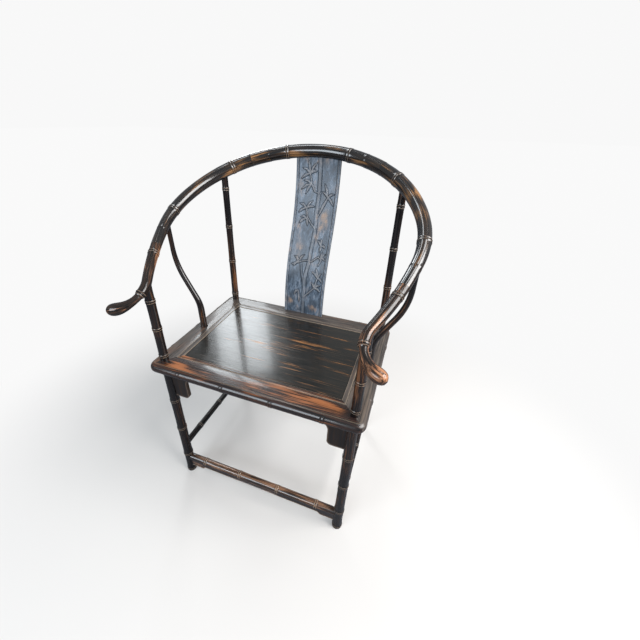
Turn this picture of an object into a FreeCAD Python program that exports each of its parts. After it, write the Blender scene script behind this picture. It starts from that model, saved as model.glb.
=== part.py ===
import FreeCAD, Part
import math
import os
import re

import Sketcher
from FreeCAD import Placement, Rotation, Vector

# Horseshoe back armchair in lacquered hardwood, every round member carved to look like bamboo.
# Millimetres. +Z is up, the sitter faces -Y, and the origin is on the floor under the middle.

SIZES = (
    # Seat frame: four mitred rails with a half-round edge, and a floating board panel
    ("seat_height", 490),
    ("seat_width", 592),
    ("seat_depth", 437),
    ("seat_forward", 27.4),
    ("frame_thickness", 28),
    ("frame_member_width", 70),
    ("frame_corner_radius", 24),
    ("frame_edge_radius", 13),
    ("frame_bead_width", 11),
    ("frame_groove_width", 3),
    ("frame_groove_depth", 1.2),
    ("corner_tenon_width", 46),
    ("corner_tenon_thickness", 9),
    ("corner_tenon_cover", 14),
    ("edge_node_outer", 196),
    ("edge_node_inner", 67),
    ("side_edge_node_spacing", 118),
    # Seat boards, and the battens dovetailed across them
    ("board_recess", 1.5),
    ("board_thickness", 12),
    ("board_tongue_depth", 8),
    ("board_tongue_thickness", 6),
    ("board_joint_depth", 5),
    ("batten_offset", 112),
    ("batten_width", 34),
    ("batten_waist", 28),
    ("batten_height", 17),
    ("batten_slot_depth", 5),
    ("batten_tenon_length", 12),
    ("batten_tenon_width", 20),
    ("batten_tenon_thickness", 7),
    # Legs: one timber each, shouldered under the frame, running up through it as a post
    ("leg_inset_side", 30.5),
    ("front_leg_inset", 37),
    ("rear_leg_inset", 21),
    ("front_foot_splay", 13),
    ("rear_foot_splay", 5),
    ("foot_splay_side", 2),
    ("leg_radius_top", 13.4),
    ("leg_radius_middle", 13.8),
    ("leg_radius_low", 14.3),
    ("foot_radius", 15.8),
    ("foot_height", 9),
    ("leg_node_low", 89),
    ("leg_node_middle", 216),
    ("leg_node_high", 337),
    ("front_post_radius", 11.7),
    ("rear_post_radius_low", 11),
    ("rear_post_radius_middle", 10.2),
    ("rear_post_radius_top", 9.4),
    ("post_root", 20),
    ("post_tenon_length", 45),
    ("rear_post_tenon_radius", 6),
    ("front_post_tenon_radius", 5),
    ("post_tenon_rise", 4),
    # Bamboo nodes: a raised ridge round the culm
    ("node_width", 9),
    ("node_height", 1.4),
    # Horseshoe rail: tangent arcs in one tilted plane. Places are measured along the rail
    # from the middle of the crest.
    ("rail_height", 966.5),
    ("rail_back", 270.6),
    ("rail_tilt_angle", 28.4),
    ("crest_arc_radius", 332),
    ("crest_arc_end", 420),
    ("shoulder_arc_radius", 248),
    ("shoulder_arc_end", 545),
    ("arm_arc_radius", 750),
    ("arm_arc_end", 727),
    ("grip_arc_radius", 67),
    ("grip_start", 766),
    ("grip_length", 85),
    ("grip_radius", 14.8),
    ("rail_radius_crest", 17.5),
    ("rail_radius_back", 17),
    ("rail_radius_shoulder", 15.7),
    ("rail_radius_elbow", 13.6),
    ("rail_radius_arm", 12),
    ("rail_node_crest", 93.5),
    ("rail_node_back", 262),
    ("rail_node_shoulder", 483),
    ("rail_node_elbow", 639),
    ("rail_section_spacing", 24),
    ("rail_post_room", 17),
    ("rail_scarf_room", 35),
    ("scarf_length", 56),
    ("crest_scarf", 175),
    ("arm_scarf", 585),
    ("scarf_key_length", 9),
    ("scarf_key_width", 6),
    ("rear_post_place", 290),
    ("arm_post_place", 524),
    ("front_post_place", 737),
    # S-shaped arm posts
    ("arm_post_inset", 34),
    ("arm_post_ahead", 2.5),
    ("arm_post_radius_low", 10),
    ("arm_post_radius_waist", 8.3),
    ("arm_post_radius_top", 6.5),
    ("arm_post_collar_height", 6),
    ("arm_post_tenon_radius", 5),
    ("arm_post_tenon_depth", 18),
    ("arm_post_top_tenon_radius", 4),
    # Back splat
    ("splat_width", 133),
    ("splat_thickness", 11),
    ("splat_inset", 22),
    ("splat_rise_high", 15),
    ("splat_border", 6.5),
    ("splat_field_depth", 1.5),
    ("splat_tenon_width", 104),
    ("splat_tenon_thickness", 5),
    ("splat_tenon_depth", 15),
    # Aprons under the seat
    ("apron_thickness", 10),
    ("apron_strip_height", 24),
    ("apron_tongue", 4),
    ("spandrel_drop", 101),
    ("spandrel_width", 59),
    ("spandrel_cove", 24),
    ("spandrel_corner", 14),
    # Foot rail in front, stretchers at the sides and back, each pair one step higher
    ("foot_rail_height", 68),
    ("foot_rail_radius", 12),
    ("foot_apron_thickness", 14),
    ("foot_apron_low", 39),
    ("foot_apron_end_low", 29),
    ("foot_apron_end_width", 56),
    ("foot_apron_slope", 9),
    ("side_stretcher_height", 133),
    ("side_stretcher_radius", 10),
    ("rear_stretcher_height", 185),
    ("stretcher_tenon_radius", 6.5),
    ("stretcher_tenon_stop", 4),
    # Fits
    ("fit", 0.3),
    ("overrun", 5),
)

# Arm grip from its neck to its club end: places as shares of its length, and radii as shares
# of its thickest
GRIP_SHARES = (
    (0.08, 0.592), (0.165, 0.597), (0.25, 0.635), (0.35, 0.695), (0.44, 0.77), (0.54, 0.865),
    (0.63, 0.945), (0.72, 0.995), (0.8, 0.99), (0.87, 0.925), (0.925, 0.8), (0.965, 0.61),
    (0.99, 0.38), (1, 0.22),
)
GRIP_NECK_SHARE = 0.61
# How far each S-bend leans, against the straight line from its foot to its head, and how much
# of the bend its lower arc takes
SPLAT_BEND_SHARES = (1.75, 0.5)
ARM_POST_BEND_SHARES = (1.5, 0.33)
BEND_SECTION_SHARES = (0, 0.25, 0.5, 0.75, 1)
# The arm post's straight foot and straight head, as shares of its height
ARM_POST_RISE_SHARES = (0.191, 0.242)
# Where the nodes of the posts are, as shares of the post's length above the seat
FRONT_POST_NODE_SHARES = (0.068, 0.448, 0.805)
REAR_POST_NODE_SHARES = (0.055, 0.348, 0.624, 0.888)

doc = FreeCAD.newDocument("HorseshoeArmchair")
sheet = doc.addObject("Spreadsheet::Sheet", "Sizes")
for row, (alias, amount) in enumerate(SIZES, 1):
    sheet.set("A%d" % row, alias)
    sheet.set("B%d" % row, str(amount))
    sheet.setAlias("B%d" % row, alias)
doc.recompute()

ALIASES = {alias for alias, amount in SIZES}


def formula(text):
    """A formula in plain size names, written the way the document's expressions need it."""
    return re.sub(
        r"[a-z_]\w*",
        lambda word: "Sizes." + word.group() if word.group() in ALIASES else word.group(),
        str(text),
    )


def size(text):
    """The value of a formula in size names."""
    return float(sheet.evalExpression(formula(text)))


def bind(item, **properties):
    """Tie properties of an object to formulas in size names."""
    for name, text in properties.items():
        item.setExpression(name, formula(text))
    return item


def box(label, length, width, height, placement):
    item = bind(doc.addObject("Part::Box", label), Length=length, Width=width, Height=height)
    item.Placement = placement
    return item


def centred_box(label, length, width, height, placement):
    """A box whose middle is on the placement."""
    corner = Vector(size(length), size(width), size(height)) * -0.5
    return box(label, length, width, height, placement.multiply(Placement(corner, Rotation())))


def cylinder(label, radius, height, placement):
    item = bind(doc.addObject("Part::Cylinder", label), Radius=radius, Height=height)
    item.Placement = placement
    return item


def fuse(label, *parts):
    item = doc.addObject("Part::MultiFuse", label)
    item.Shapes = list(parts)
    item.Refine = True
    return item


def common(label, base, tool):
    item = doc.addObject("Part::Common", label)
    item.Base = base
    item.Tool = tool
    return item


def cut(label, base, *tools):
    """Take the tools away from the base, one after the other."""
    for count, tool in enumerate(tools, 1):
        item = doc.addObject("Part::Cut", label if count == len(tools) else label + "_step")
        item.Base = base
        item.Tool = tool
        base = item
    return base


def mirrored(label, source):
    """The left-hand twin of a right-hand piece."""
    item = doc.addObject("Part::Mirroring", label)
    item.Source = source
    item.Normal = Vector(1, 0, 0)
    return item


def compound(label, *parts):
    item = doc.addObject("Part::Compound", label)
    item.Links = list(parts)
    return item


def at(x, y, z, turn=0):
    """A placement at a point, turned about the upright."""
    return Placement(Vector(x, y, z), Rotation(Vector(0, 0, 1), turn))


def along(start, end):
    """A placement at start whose Z axis points to end."""
    return Placement(start, Rotation(Vector(0, 0, 1), end - start))


def mirror_point(point):
    return Vector(-point.x, point.y, point.z)


def outline(body, name, role, corners):
    """A closed outline on an origin plane of the body, each corner tied to two formulas."""
    sketch = body.newObject("Sketcher::SketchObject", name)
    plane = next(item for item in body.Origin.OriginFeatures if item.Role == role)
    sketch.AttachmentSupport = [(plane, "")]
    sketch.MapMode = "FlatFace"
    places = [Vector(size(across), size(up), 0) for across, up in corners]
    for here, there in zip(places, places[1:] + places[:1]):
        sketch.addGeometry(Part.LineSegment(here, there), False)
    for line in range(len(places)):
        following = (line + 1) % len(places)
        sketch.addConstraint(Sketcher.Constraint("Coincident", line, 2, following, 1))
    for line, corner in enumerate(corners):
        for kind, text in zip(("DistanceX", "DistanceY"), corner):
            index = sketch.addConstraint(Sketcher.Constraint(kind, -1, 1, line, 1, size(text)))
            sketch.setExpression("Constraints[%d]" % index, formula(text))
    return sketch


def board(label, role, corners, length, placement):
    """A flat piece: an outline padded to both sides of its plane."""
    body = doc.addObject("PartDesign::Body", label)
    pad = body.newObject("PartDesign::Pad", label + "_pad")
    pad.Profile = outline(body, label + "_outline", role, corners)
    pad.Midplane = True
    bind(pad, Length=length)
    body.Placement = placement
    return body


def rounded(body, name, radius, wanted):
    """Round the edges of the body's last feature that the test picks."""
    doc.recompute()
    last = body.Tip
    edges = ["Edge%d" % number
             for number, edge in enumerate(last.Shape.Edges, 1) if wanted(edge)]
    fillet = body.newObject("PartDesign::Fillet", name)
    fillet.Base = (last, edges)
    bind(fillet, Radius=radius)
    return body


def node_steps(place, below, above):
    """The profile points of one bamboo node, a ridge between the radii below and above it."""
    return [
        ("%s - node_width / 2" % place, below),
        (place, "max(%s; %s) + node_height" % (below, above)),
        ("%s + node_width / 2" % place, above),
    ]


def turned(label, steps, placement):
    """A round member from (place along the axis, radius) steps, revolved about its axis."""
    body = doc.addObject("PartDesign::Body", label)
    corners = [("0", steps[0][0])]
    corners += [(radius, place) for place, radius in steps]
    corners += [("0", steps[-1][0])]
    profile = outline(body, label + "_profile", "XZ_Plane", corners)
    turning = body.newObject("PartDesign::Revolution", label + "_turning")
    turning.Profile = profile
    turning.ReferenceAxis = (profile, ["V_Axis"])
    turning.Angle = 360
    body.Placement = placement
    return body


def round_bar(label, sections):
    """A round bar through (placement, radius) sections, its axis along each placement's X."""
    circles = []
    for placement, radius in sections:
        circle = bind(doc.addObject("Part::Circle", label + "_section"), Radius=radius)
        square = Placement(Vector(0, 0, 0), Rotation(Vector(0, 1, 0), 90))
        circle.Placement = placement.multiply(square)
        circles.append(circle)
    bar = doc.addObject("Part::Loft", label)
    bar.Sections = circles
    bar.Solid = True
    bar.Ruled = True
    return bar


# The horseshoe rail: one curve in a tilted plane, carved round, thinner from node to node.

RAIL_PLANE = Placement(
    Vector(0, size("rail_back"), size("rail_height")),
    Rotation(Vector(1, 0, 0), size("rail_tilt_angle")),
)
# Its arcs in order: radius, end measured along the rail, and +1 where the rail turns towards
# the sitter or -1 where the grip turns away
RAIL_ARCS = (
    ("crest_arc_radius", "crest_arc_end", 1),
    ("shoulder_arc_radius", "shoulder_arc_end", 1),
    ("arm_arc_radius", "arm_arc_end", 1),
    ("grip_arc_radius", "grip_start + grip_length", -1),
)
# Its internodes in order: the node that ends each, and its radius
RAIL_INTERNODES = (
    ("rail_node_crest", "rail_radius_crest"),
    ("rail_node_back", "rail_radius_back"),
    ("rail_node_shoulder", "rail_radius_shoulder"),
    ("rail_node_elbow", "rail_radius_elbow"),
    ("grip_start", "rail_radius_arm"),
)


def rail_frame(place):
    """The rail's own frame at a place along it: X forward along the rail, Z off its plane."""
    travel = size(place)
    point, heading, start = Vector(0, 0, 0), 0, 0
    for radius, end, turn in RAIL_ARCS:
        reach = size(radius) * turn
        centre = point - Vector(math.sin(heading), math.cos(heading), 0) * reach
        stop = min(travel, size(end))
        heading += (stop - start) / reach
        point = centre + Vector(math.sin(heading), math.cos(heading), 0) * reach
        start = stop
        if travel <= size(end):
            break
    turned_by = Rotation(Vector(0, 0, 1), -math.degrees(heading))
    return RAIL_PLANE.multiply(Placement(point, turned_by))


def rail_heading(place):
    """How far the rail has turned at a place along it, in degrees about its plane's upright."""
    forward = rail_frame(place).Rotation.multVec(Vector(1, 0, 0))
    level = RAIL_PLANE.Rotation.inverted().multVec(forward)
    return math.degrees(math.atan2(level.y, level.x))


def rail_arc(label, first, last, radius, turn, thickness):
    """A round stretch of the rail between two places on one of its arcs."""
    ring = doc.addObject("Part::Torus", label)
    bind(ring, Radius1=radius, Radius2=thickness,
         Angle3="(%s - (%s)) / %s * 180 / pi" % (last, first, radius))
    ring.Angle1 = -180
    ring.Angle2 = 180
    # The ring is swept about its axis from the end that lies clockwise of the other
    place, quarter = (last, 90) if turn > 0 else (first, -90)
    inward = Vector(0, -size(radius) * turn, 0)
    centre = rail_frame(place).multVec(inward)
    level = RAIL_PLANE.Rotation.multiply(
        Rotation(Vector(0, 0, 1), rail_heading(place) + quarter))
    ring.Placement = Placement(centre, level)
    return ring


def rail_run(label, first, last, thickness):
    """The plain round rail between two places along it, one part for each arc it crosses."""
    runs, start = [], None
    for radius, end, turn in RAIL_ARCS:
        low = first if start is None or size(first) > size(start) else start
        high = last if size(last) < size(end) else end
        if size(high) - size(low) > size("fit"):
            runs.append(rail_arc(label, low, high, radius, turn, thickness))
        start = end
    return runs


def rail_bar(label, first, last):
    """The round rail between two places with no node, where it takes a joint."""
    runs, start = [], None
    for node, thickness in RAIL_INTERNODES:
        low = first if start is None or size(first) > size(start) else start
        high = last if size(last) < size(node) else node
        if size(high) - size(low) > size("fit"):
            runs += rail_run(label, low, high, thickness)
        start = node
    return runs


def rail_sections(first, last):
    """Sections of the rail between two places, with the nodes between them."""
    sections, start = [], size(first)
    for node, thickness in RAIL_INTERNODES:
        stop = min(size(last), size(node + " - node_width / 2"))
        if stop > start:
            steps = math.ceil((stop - start) / size("rail_section_spacing"))
            sections += [(rail_frame("%r" % (start + (stop - start) * step / steps)), thickness)
                         for step in range(steps + 1)]
            if size(node) < size(last):
                sections.append((rail_frame(node), thickness + " + node_height"))
        start = max(start, size(node + " + node_width / 2"))
    return sections


# Legs. Each is one timber: a leg below the seat and a slimmer post above it. The seat frame
# is threaded down over the posts and rests on the shoulders between the two.

SEAT_X = size("seat_width / 2")
SEAT_FRONT = size("-seat_forward - seat_depth / 2")
SEAT_REAR = size("-seat_forward + seat_depth / 2")
SEAT_MIDDLE = (SEAT_FRONT + SEAT_REAR) / 2
SEAT_TOP = size("seat_height")
FRAME_UNDER = size("seat_height - frame_thickness")
LEG_X = size("seat_width / 2 - leg_inset_side")
FRONT_LEG_Y = SEAT_FRONT + size("front_leg_inset")
REAR_LEG_Y = SEAT_REAR - size("rear_leg_inset")
FOOT_X = LEG_X + size("foot_splay_side")

FRONT_FOOT = Vector(FOOT_X, FRONT_LEG_Y - size("front_foot_splay"), 0)
REAR_FOOT = Vector(FOOT_X, REAR_LEG_Y + size("rear_foot_splay"), 0)
FRONT_KNEE = Vector(LEG_X, FRONT_LEG_Y, FRAME_UNDER)
REAR_KNEE = Vector(LEG_X, REAR_LEG_Y, FRAME_UNDER)
FRONT_HEAD = rail_frame("front_post_place").Base
REAR_HEAD = rail_frame("rear_post_place").Base


def leg_at(foot, knee, height):
    """The point of a leg's axis at a height over the floor."""
    return foot + (knee - foot) * (height / knee.z)


def lower_leg(label, foot, knee):
    """The bamboo leg below the seat, cut flat at the floor and under the frame."""
    steps = [("-overrun", "foot_radius"), ("foot_height", "foot_radius"),
             ("foot_height + node_width / 2", "leg_radius_low")]
    steps += node_steps("leg_node_low", "leg_radius_low", "leg_radius_low")
    steps += node_steps("leg_node_middle", "leg_radius_low", "leg_radius_middle")
    steps += node_steps("leg_node_high", "leg_radius_middle", "leg_radius_top")
    steps += [("seat_height", "leg_radius_top")]
    timber = turned(label + "_timber", steps, along(foot, knee))
    middle = at(foot.x, foot.y, FRAME_UNDER / 2)
    room = centred_box(label + "_room", "8 * foot_radius", "8 * foot_radius",
                       "seat_height - frame_thickness", middle)
    return common(label, timber, room)


def pin_into_rail(label, knee, head, radius, slack="0"):
    """The round tenon on a post's head, or the socket for it when given some slack."""
    below = "post_tenon_length - post_tenon_rise"
    start = Placement(Vector(0, 0, (head - knee).Length - size(below)), Rotation())
    return cylinder(label, "%s + %s" % (radius, slack), "post_tenon_length + %s" % slack,
                    along(knee, head).multiply(start))


def rail_rooms(label, place, thickness):
    """The room that the rail takes at a joint, with the fit round it."""
    reach = "3 * rail_radius_crest"
    return rail_run(label, "%s - %s" % (place, reach), "%s + %s" % (place, reach),
                    thickness + " + fit")


def post(label, knee, head, nodes, place, thickness):
    """The post above the seat, coped under the rail. Nodes are (share, below, above)."""
    seat, rise = size("frame_thickness"), (head - knee).Length
    steps = []
    for share, below, above in nodes:
        steps += node_steps("%r" % (seat + (rise - seat) * share), below, above)
    steps = [("-post_root", steps[0][1]), *steps,
             ("%r - rail_radius_arm / 3" % rise, steps[-1][1])]
    bamboo = turned(label + "_bamboo", steps, along(knee, head))
    return cut(label, bamboo, *rail_rooms(label + "_room", place, thickness))


FRONT_POST_RADII = ("front_post_radius",) * 4
REAR_POST_RADII = ("rear_post_radius_low", "rear_post_radius_low", "rear_post_radius_middle",
                   "rear_post_radius_top", "rear_post_radius_top")
front_post = post("front_post", FRONT_KNEE, FRONT_HEAD,
                  zip(FRONT_POST_NODE_SHARES, FRONT_POST_RADII, FRONT_POST_RADII[1:]),
                  "front_post_place", "rail_radius_arm")
rear_post = post("rear_post", REAR_KNEE, REAR_HEAD,
                 zip(REAR_POST_NODE_SHARES, REAR_POST_RADII, REAR_POST_RADII[1:]),
                 "rear_post_place", "rail_radius_shoulder")
front_pin = pin_into_rail("front_post_pin", FRONT_KNEE, FRONT_HEAD, "front_post_tenon_radius")
rear_pin = pin_into_rail("rear_post_pin", REAR_KNEE, REAR_HEAD, "rear_post_tenon_radius")
front_leg_blank = fuse("front_leg_blank", lower_leg("front_lower_leg", FRONT_FOOT, FRONT_KNEE),
                       front_post, front_pin)
rear_leg_blank = fuse("rear_leg_blank", lower_leg("rear_lower_leg", REAR_FOOT, REAR_KNEE),
                      rear_post, rear_pin)


# Foot rail and stretchers. Each runs between two legs, is coped to their round faces and has
# round tenons in blind sockets.

def leg_room(label, foot, knee, radius):
    """The room that a leg takes, with the fit round it."""
    return cylinder(label, radius + " + fit", "seat_height", along(foot, knee))


def pair(label, source):
    return source, mirrored(label + "_left", source)


front_low_rooms = pair("front_leg_low_room", leg_room(
    "front_leg_low_room", FRONT_FOOT, FRONT_KNEE, "leg_radius_low"))
rear_low_rooms = pair("rear_leg_low_room", leg_room(
    "rear_leg_low_room", REAR_FOOT, REAR_KNEE, "leg_radius_low"))
front_top_rooms = pair("front_leg_top_room", leg_room(
    "front_leg_top_room", FRONT_FOOT, FRONT_KNEE, "leg_radius_top"))
rear_top_rooms = pair("rear_leg_top_room", leg_room(
    "rear_leg_top_room", REAR_FOOT, REAR_KNEE, "leg_radius_top"))


def stretcher_pin(label, start, end, slack="0"):
    """The round tenons of a stretcher in one rod, or their sockets when given some slack."""
    stop = Placement(Vector(0, 0, size("stretcher_tenon_stop - (%s)" % slack)), Rotation())
    reach = "%r - 2 * stretcher_tenon_stop + 2 * (%s)" % ((end - start).Length, slack)
    return cylinder(label, "stretcher_tenon_radius + %s" % slack, reach,
                    along(start, end).multiply(stop))


def stretcher(label, start, end, radius, nodes, rooms):
    """A stretcher between two leg axes, with nodes at distances from its middle."""
    span = (end - start).Length
    steps = [("0", radius)]
    for node in nodes:
        steps += node_steps("%r + %s" % (span / 2, node), radius, radius)
    steps += [("%r" % span, radius)]
    bamboo = turned(label + "_bamboo", steps, along(start, end))
    coped = cut(label + "_coped", bamboo, *rooms)
    return fuse(label, coped, stretcher_pin(label + "_pin", start, end))


CROSS_NODES = ("(-edge_node_outer)", "(-edge_node_inner)", "edge_node_inner", "edge_node_outer")
SIDE_NODES = ("(-side_edge_node_spacing)", "0", "side_edge_node_spacing")

foot_end = leg_at(FRONT_FOOT, FRONT_KNEE, size("foot_rail_height"))
foot_start = mirror_point(foot_end)
side_front = leg_at(FRONT_FOOT, FRONT_KNEE, size("side_stretcher_height"))
side_rear = leg_at(REAR_FOOT, REAR_KNEE, size("side_stretcher_height"))
rear_end = leg_at(REAR_FOOT, REAR_KNEE, size("rear_stretcher_height"))
rear_start = mirror_point(rear_end)

foot_rail = stretcher("foot_rail", foot_start, foot_end, "foot_rail_radius", CROSS_NODES,
                      front_low_rooms)
stretcher_right = stretcher("stretcher_right", side_front, side_rear, "side_stretcher_radius",
                            SIDE_NODES, (front_low_rooms[0], rear_low_rooms[0]))
stretcher_left = mirrored("stretcher_left", stretcher_right)
stretcher_rear = stretcher("stretcher_rear", rear_start, rear_end, "side_stretcher_radius",
                           CROSS_NODES, rear_low_rooms)

foot_sockets = stretcher_pin("foot_rail_sockets", foot_start, foot_end, "fit")
side_sockets = stretcher_pin("side_stretcher_sockets", side_front, side_rear, "fit")
rear_sockets = stretcher_pin("rear_stretcher_sockets", rear_start, rear_end, "fit")
front_leg_right = cut("front_leg_right", front_leg_blank, foot_sockets, side_sockets)
front_leg_left = mirrored("front_leg_left", front_leg_right)
rear_leg_right = cut("rear_leg_right", rear_leg_blank, rear_sockets, side_sockets)
rear_leg_left = mirrored("rear_leg_left", rear_leg_right)


# Strip under the foot rail, its ends dropped into small spandrels against the legs.

def foot_strip():
    half = "%r" % foot_end.x
    inner = "(%s - foot_apron_end_width)" % half
    shoulder = "(%s - foot_apron_slope)" % inner
    corners = [("-" + half, "foot_rail_height"), ("-" + half, "foot_apron_end_low"),
               ("-" + inner, "foot_apron_end_low"), ("-" + shoulder, "foot_apron_low"),
               (shoulder, "foot_apron_low"), (inner, "foot_apron_end_low"),
               (half, "foot_apron_end_low"), (half, "foot_rail_height")]
    strip = board("foot_strip", "XZ_Plane", corners, "foot_apron_thickness",
                  at(0, foot_end.y, 0))
    rooms = [cylinder("foot_rail_room", "foot_rail_radius + fit", "%r" % (2 * foot_end.x),
                      along(foot_start, foot_end))]
    for node in CROSS_NODES:
        near = Vector(size(node + " - node_width / 2"), foot_end.y, foot_end.z)
        rooms.append(cylinder("foot_rail_node_room", "foot_rail_radius + node_height + fit",
                              "node_width", along(near, foot_end)))
    return cut("foot_rail_apron", strip, *rooms, *front_low_rooms)


foot_rail_apron = foot_strip()


# Aprons under the seat: a strip tongued into the frame, with a rounded spandrel at each leg.

def apron(label, half, placement, rooms):
    """An apron between two leg axes, half its span to each side of its middle."""
    half = "%r" % half
    inner = "(%s - spandrel_width)" % half
    low = "-spandrel_drop"
    strip = "-apron_strip_height"
    corners = [("-" + half, "apron_tongue"), ("-" + half, low), ("-" + inner, low),
               ("-" + inner, strip), (inner, strip), (inner, low), (half, low),
               (half, "apron_tongue")]
    body = board(label + "_board", "XZ_Plane", corners, "apron_thickness", placement)

    def inner_corner(height):
        def wanted(edge):
            ends = [vertex.Point for vertex in edge.Vertexes]
            return (len(ends) == 2 and abs(ends[0].y - ends[1].y) > size("apron_thickness / 2")
                    and abs(abs(ends[0].x) - size(inner)) < size("fit")
                    and abs(ends[0].z - size(height)) < size("fit"))
        return wanted

    rounded(body, label + "_coves", "spandrel_cove", inner_corner(strip))
    rounded(body, label + "_corners", "spandrel_corner", inner_corner(low))
    return cut(label, body, *rooms)


SIDE_MIDDLE_Y = (FRONT_LEG_Y + REAR_LEG_Y) / 2
SIDE_HALF = (REAR_LEG_Y - FRONT_LEG_Y) / 2
apron_front = apron("apron_front", LEG_X, at(0, FRONT_LEG_Y, FRAME_UNDER), front_top_rooms)
apron_rear = apron("apron_rear", LEG_X, at(0, REAR_LEG_Y, FRAME_UNDER), rear_top_rooms)
apron_right = apron("apron_right", SIDE_HALF, at(LEG_X, SIDE_MIDDLE_Y, FRAME_UNDER, 90),
                    (front_top_rooms[0], rear_top_rooms[0]))
apron_left = mirrored("apron_left", apron_right)


# Seat boards: three, tongued into the frame and into each other, grain from side to side.

OPENING_X = size("seat_width / 2 - frame_member_width")
OPENING_FRONT = SEAT_FRONT + size("frame_member_width")
OPENING_REAR = SEAT_REAR - size("frame_member_width")
BOARD_UNDER = size("seat_height - board_recess - board_thickness")


def board_edge(kind, line, outward):
    """Outline of a board's edge from its underside up: 'frame', 'tongue' or 'groove'."""
    if kind == "frame":
        nose = line + outward * size("board_tongue_depth")
        points = [(nose, "0"), (nose, "board_tongue_thickness"),
                  (line, "board_tongue_thickness"), (line, "board_thickness")]
    else:
        reach = "board_joint_depth" if kind == "tongue" else "-board_joint_depth - fit"
        nose = line + outward * size(reach)
        low, high = "board_thickness / 3", "board_thickness * 2 / 3"
        points = [(line, "0"), (line, low), (nose, low), (nose, high), (line, high),
                  (line, "board_thickness")]
    return [("%r" % y, z) for y, z in points]


def batten_slot(label, side, slack):
    """The dovetailed batten's own section, run from opening edge to opening edge."""
    top, low = "batten_slot_depth", "batten_slot_depth - batten_height"
    wide, waist = "batten_width / 2", "batten_waist / 2"
    corners = [("-" + wide, top), ("-" + waist, "0"), ("-" + waist, low), (waist, low),
               (waist, "0"), (wide, top)]
    middle = at(side * size("batten_offset"), (OPENING_FRONT + OPENING_REAR) / 2, BOARD_UNDER)
    span = "seat_depth - 2 * frame_member_width - 2 * (%s)" % slack
    return board(label, "XZ_Plane", corners, span, middle)


right_batten = batten_slot("right_batten_bar", 1, "fit")
batten_rooms = [batten_slot("batten_room", side, "-overrun") for side in (1, -1)]


def seat_board(label, front, rear, front_edge, rear_edge):
    """One board between two lines across the seat, tongued at its ends too."""
    corners = board_edge(front_edge, front, -1)[::-1] + board_edge(rear_edge, rear, 1)
    reach = "seat_width - 2 * frame_member_width + 2 * board_tongue_depth"
    plank = board(label + "_plank", "YZ_Plane", corners, reach, at(0, 0, BOARD_UNDER))
    depth = "seat_depth"
    ends = [centred_box(label + "_end", "4 * board_tongue_depth", depth, "2 * board_thickness",
                        at(side * (OPENING_X + size("2 * board_tongue_depth")), SEAT_MIDDLE,
                           BOARD_UNDER + size("board_tongue_thickness + board_thickness")))
            for side in (1, -1)]
    return cut(label, plank, *ends, *batten_rooms)


BOARD_LINES = [OPENING_FRONT + (OPENING_REAR - OPENING_FRONT) * share / 3 for share in range(4)]
seat_board_front = seat_board("seat_board_front", BOARD_LINES[0], BOARD_LINES[1],
                              "frame", "groove")
seat_board_middle = seat_board("seat_board_middle", BOARD_LINES[1], BOARD_LINES[2],
                               "tongue", "groove")
seat_board_rear = seat_board("seat_board_rear", BOARD_LINES[2], BOARD_LINES[3],
                             "tongue", "frame")


def batten_tenons(label, slack):
    """The tenons at both ends of the right batten in one bar, or their mortises."""
    reach = "seat_depth - 2 * frame_member_width + 2 * batten_tenon_length + 2 * (%s)" % slack
    low = BOARD_UNDER + size("(batten_slot_depth - batten_height) / 2")
    return centred_box(label, "batten_tenon_width + 2 * (%s)" % slack, reach,
                       "batten_tenon_thickness + 2 * (%s)" % slack,
                       at(size("batten_offset"), SEAT_MIDDLE, low))


seat_batten_right = fuse("seat_batten_right", right_batten, batten_tenons("batten_pin", "0"))
seat_batten_left = mirrored("seat_batten_left", seat_batten_right)
batten_mortises = pair("batten_mortises", batten_tenons("batten_mortises", "fit"))


# Back splat: an S-bent board, its face sunk inside a narrow border, tenoned top and bottom.

def double_bend(across, up, shares):
    """The lean, lower radius and upper radius of an S that steps across as it rises."""
    bend_share, low_share = shares
    lean = bend_share * math.atan2(across, up)
    both = (up * math.sin(lean) - across * math.cos(lean)) / (1 - math.cos(lean))
    return lean, both * low_share, both * (1 - low_share)


def bend_edges(low_rise, across, up, high_rise, shares, offset=0):
    """Edges of an S in the XZ plane: up, over to +X and up again, shifted by the offset."""
    lean, low, high = double_bend(across, up, shares)

    def low_arc(angle):
        reach = low - offset
        return Vector(low - reach * math.cos(angle), 0, low_rise + reach * math.sin(angle))

    def high_arc(angle):
        reach = high + offset
        return Vector(across - high + reach * math.cos(angle), 0,
                      low_rise + up - reach * math.sin(angle))

    edges = [Part.Arc(low_arc(0), low_arc(lean / 2), low_arc(lean)).toShape(),
             Part.LineSegment(low_arc(lean), high_arc(lean)).toShape(),
             Part.Arc(high_arc(lean), high_arc(lean / 2), high_arc(0)).toShape(),
             Part.LineSegment(high_arc(0), high_arc(0) + Vector(0, 0, high_rise)).toShape()]
    if low_rise:
        foot = low_arc(0) - Vector(0, 0, low_rise)
        edges.insert(0, Part.LineSegment(foot, low_arc(0)).toShape())
    return edges


SPLAT_Y = SEAT_REAR - size("splat_inset")


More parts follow.
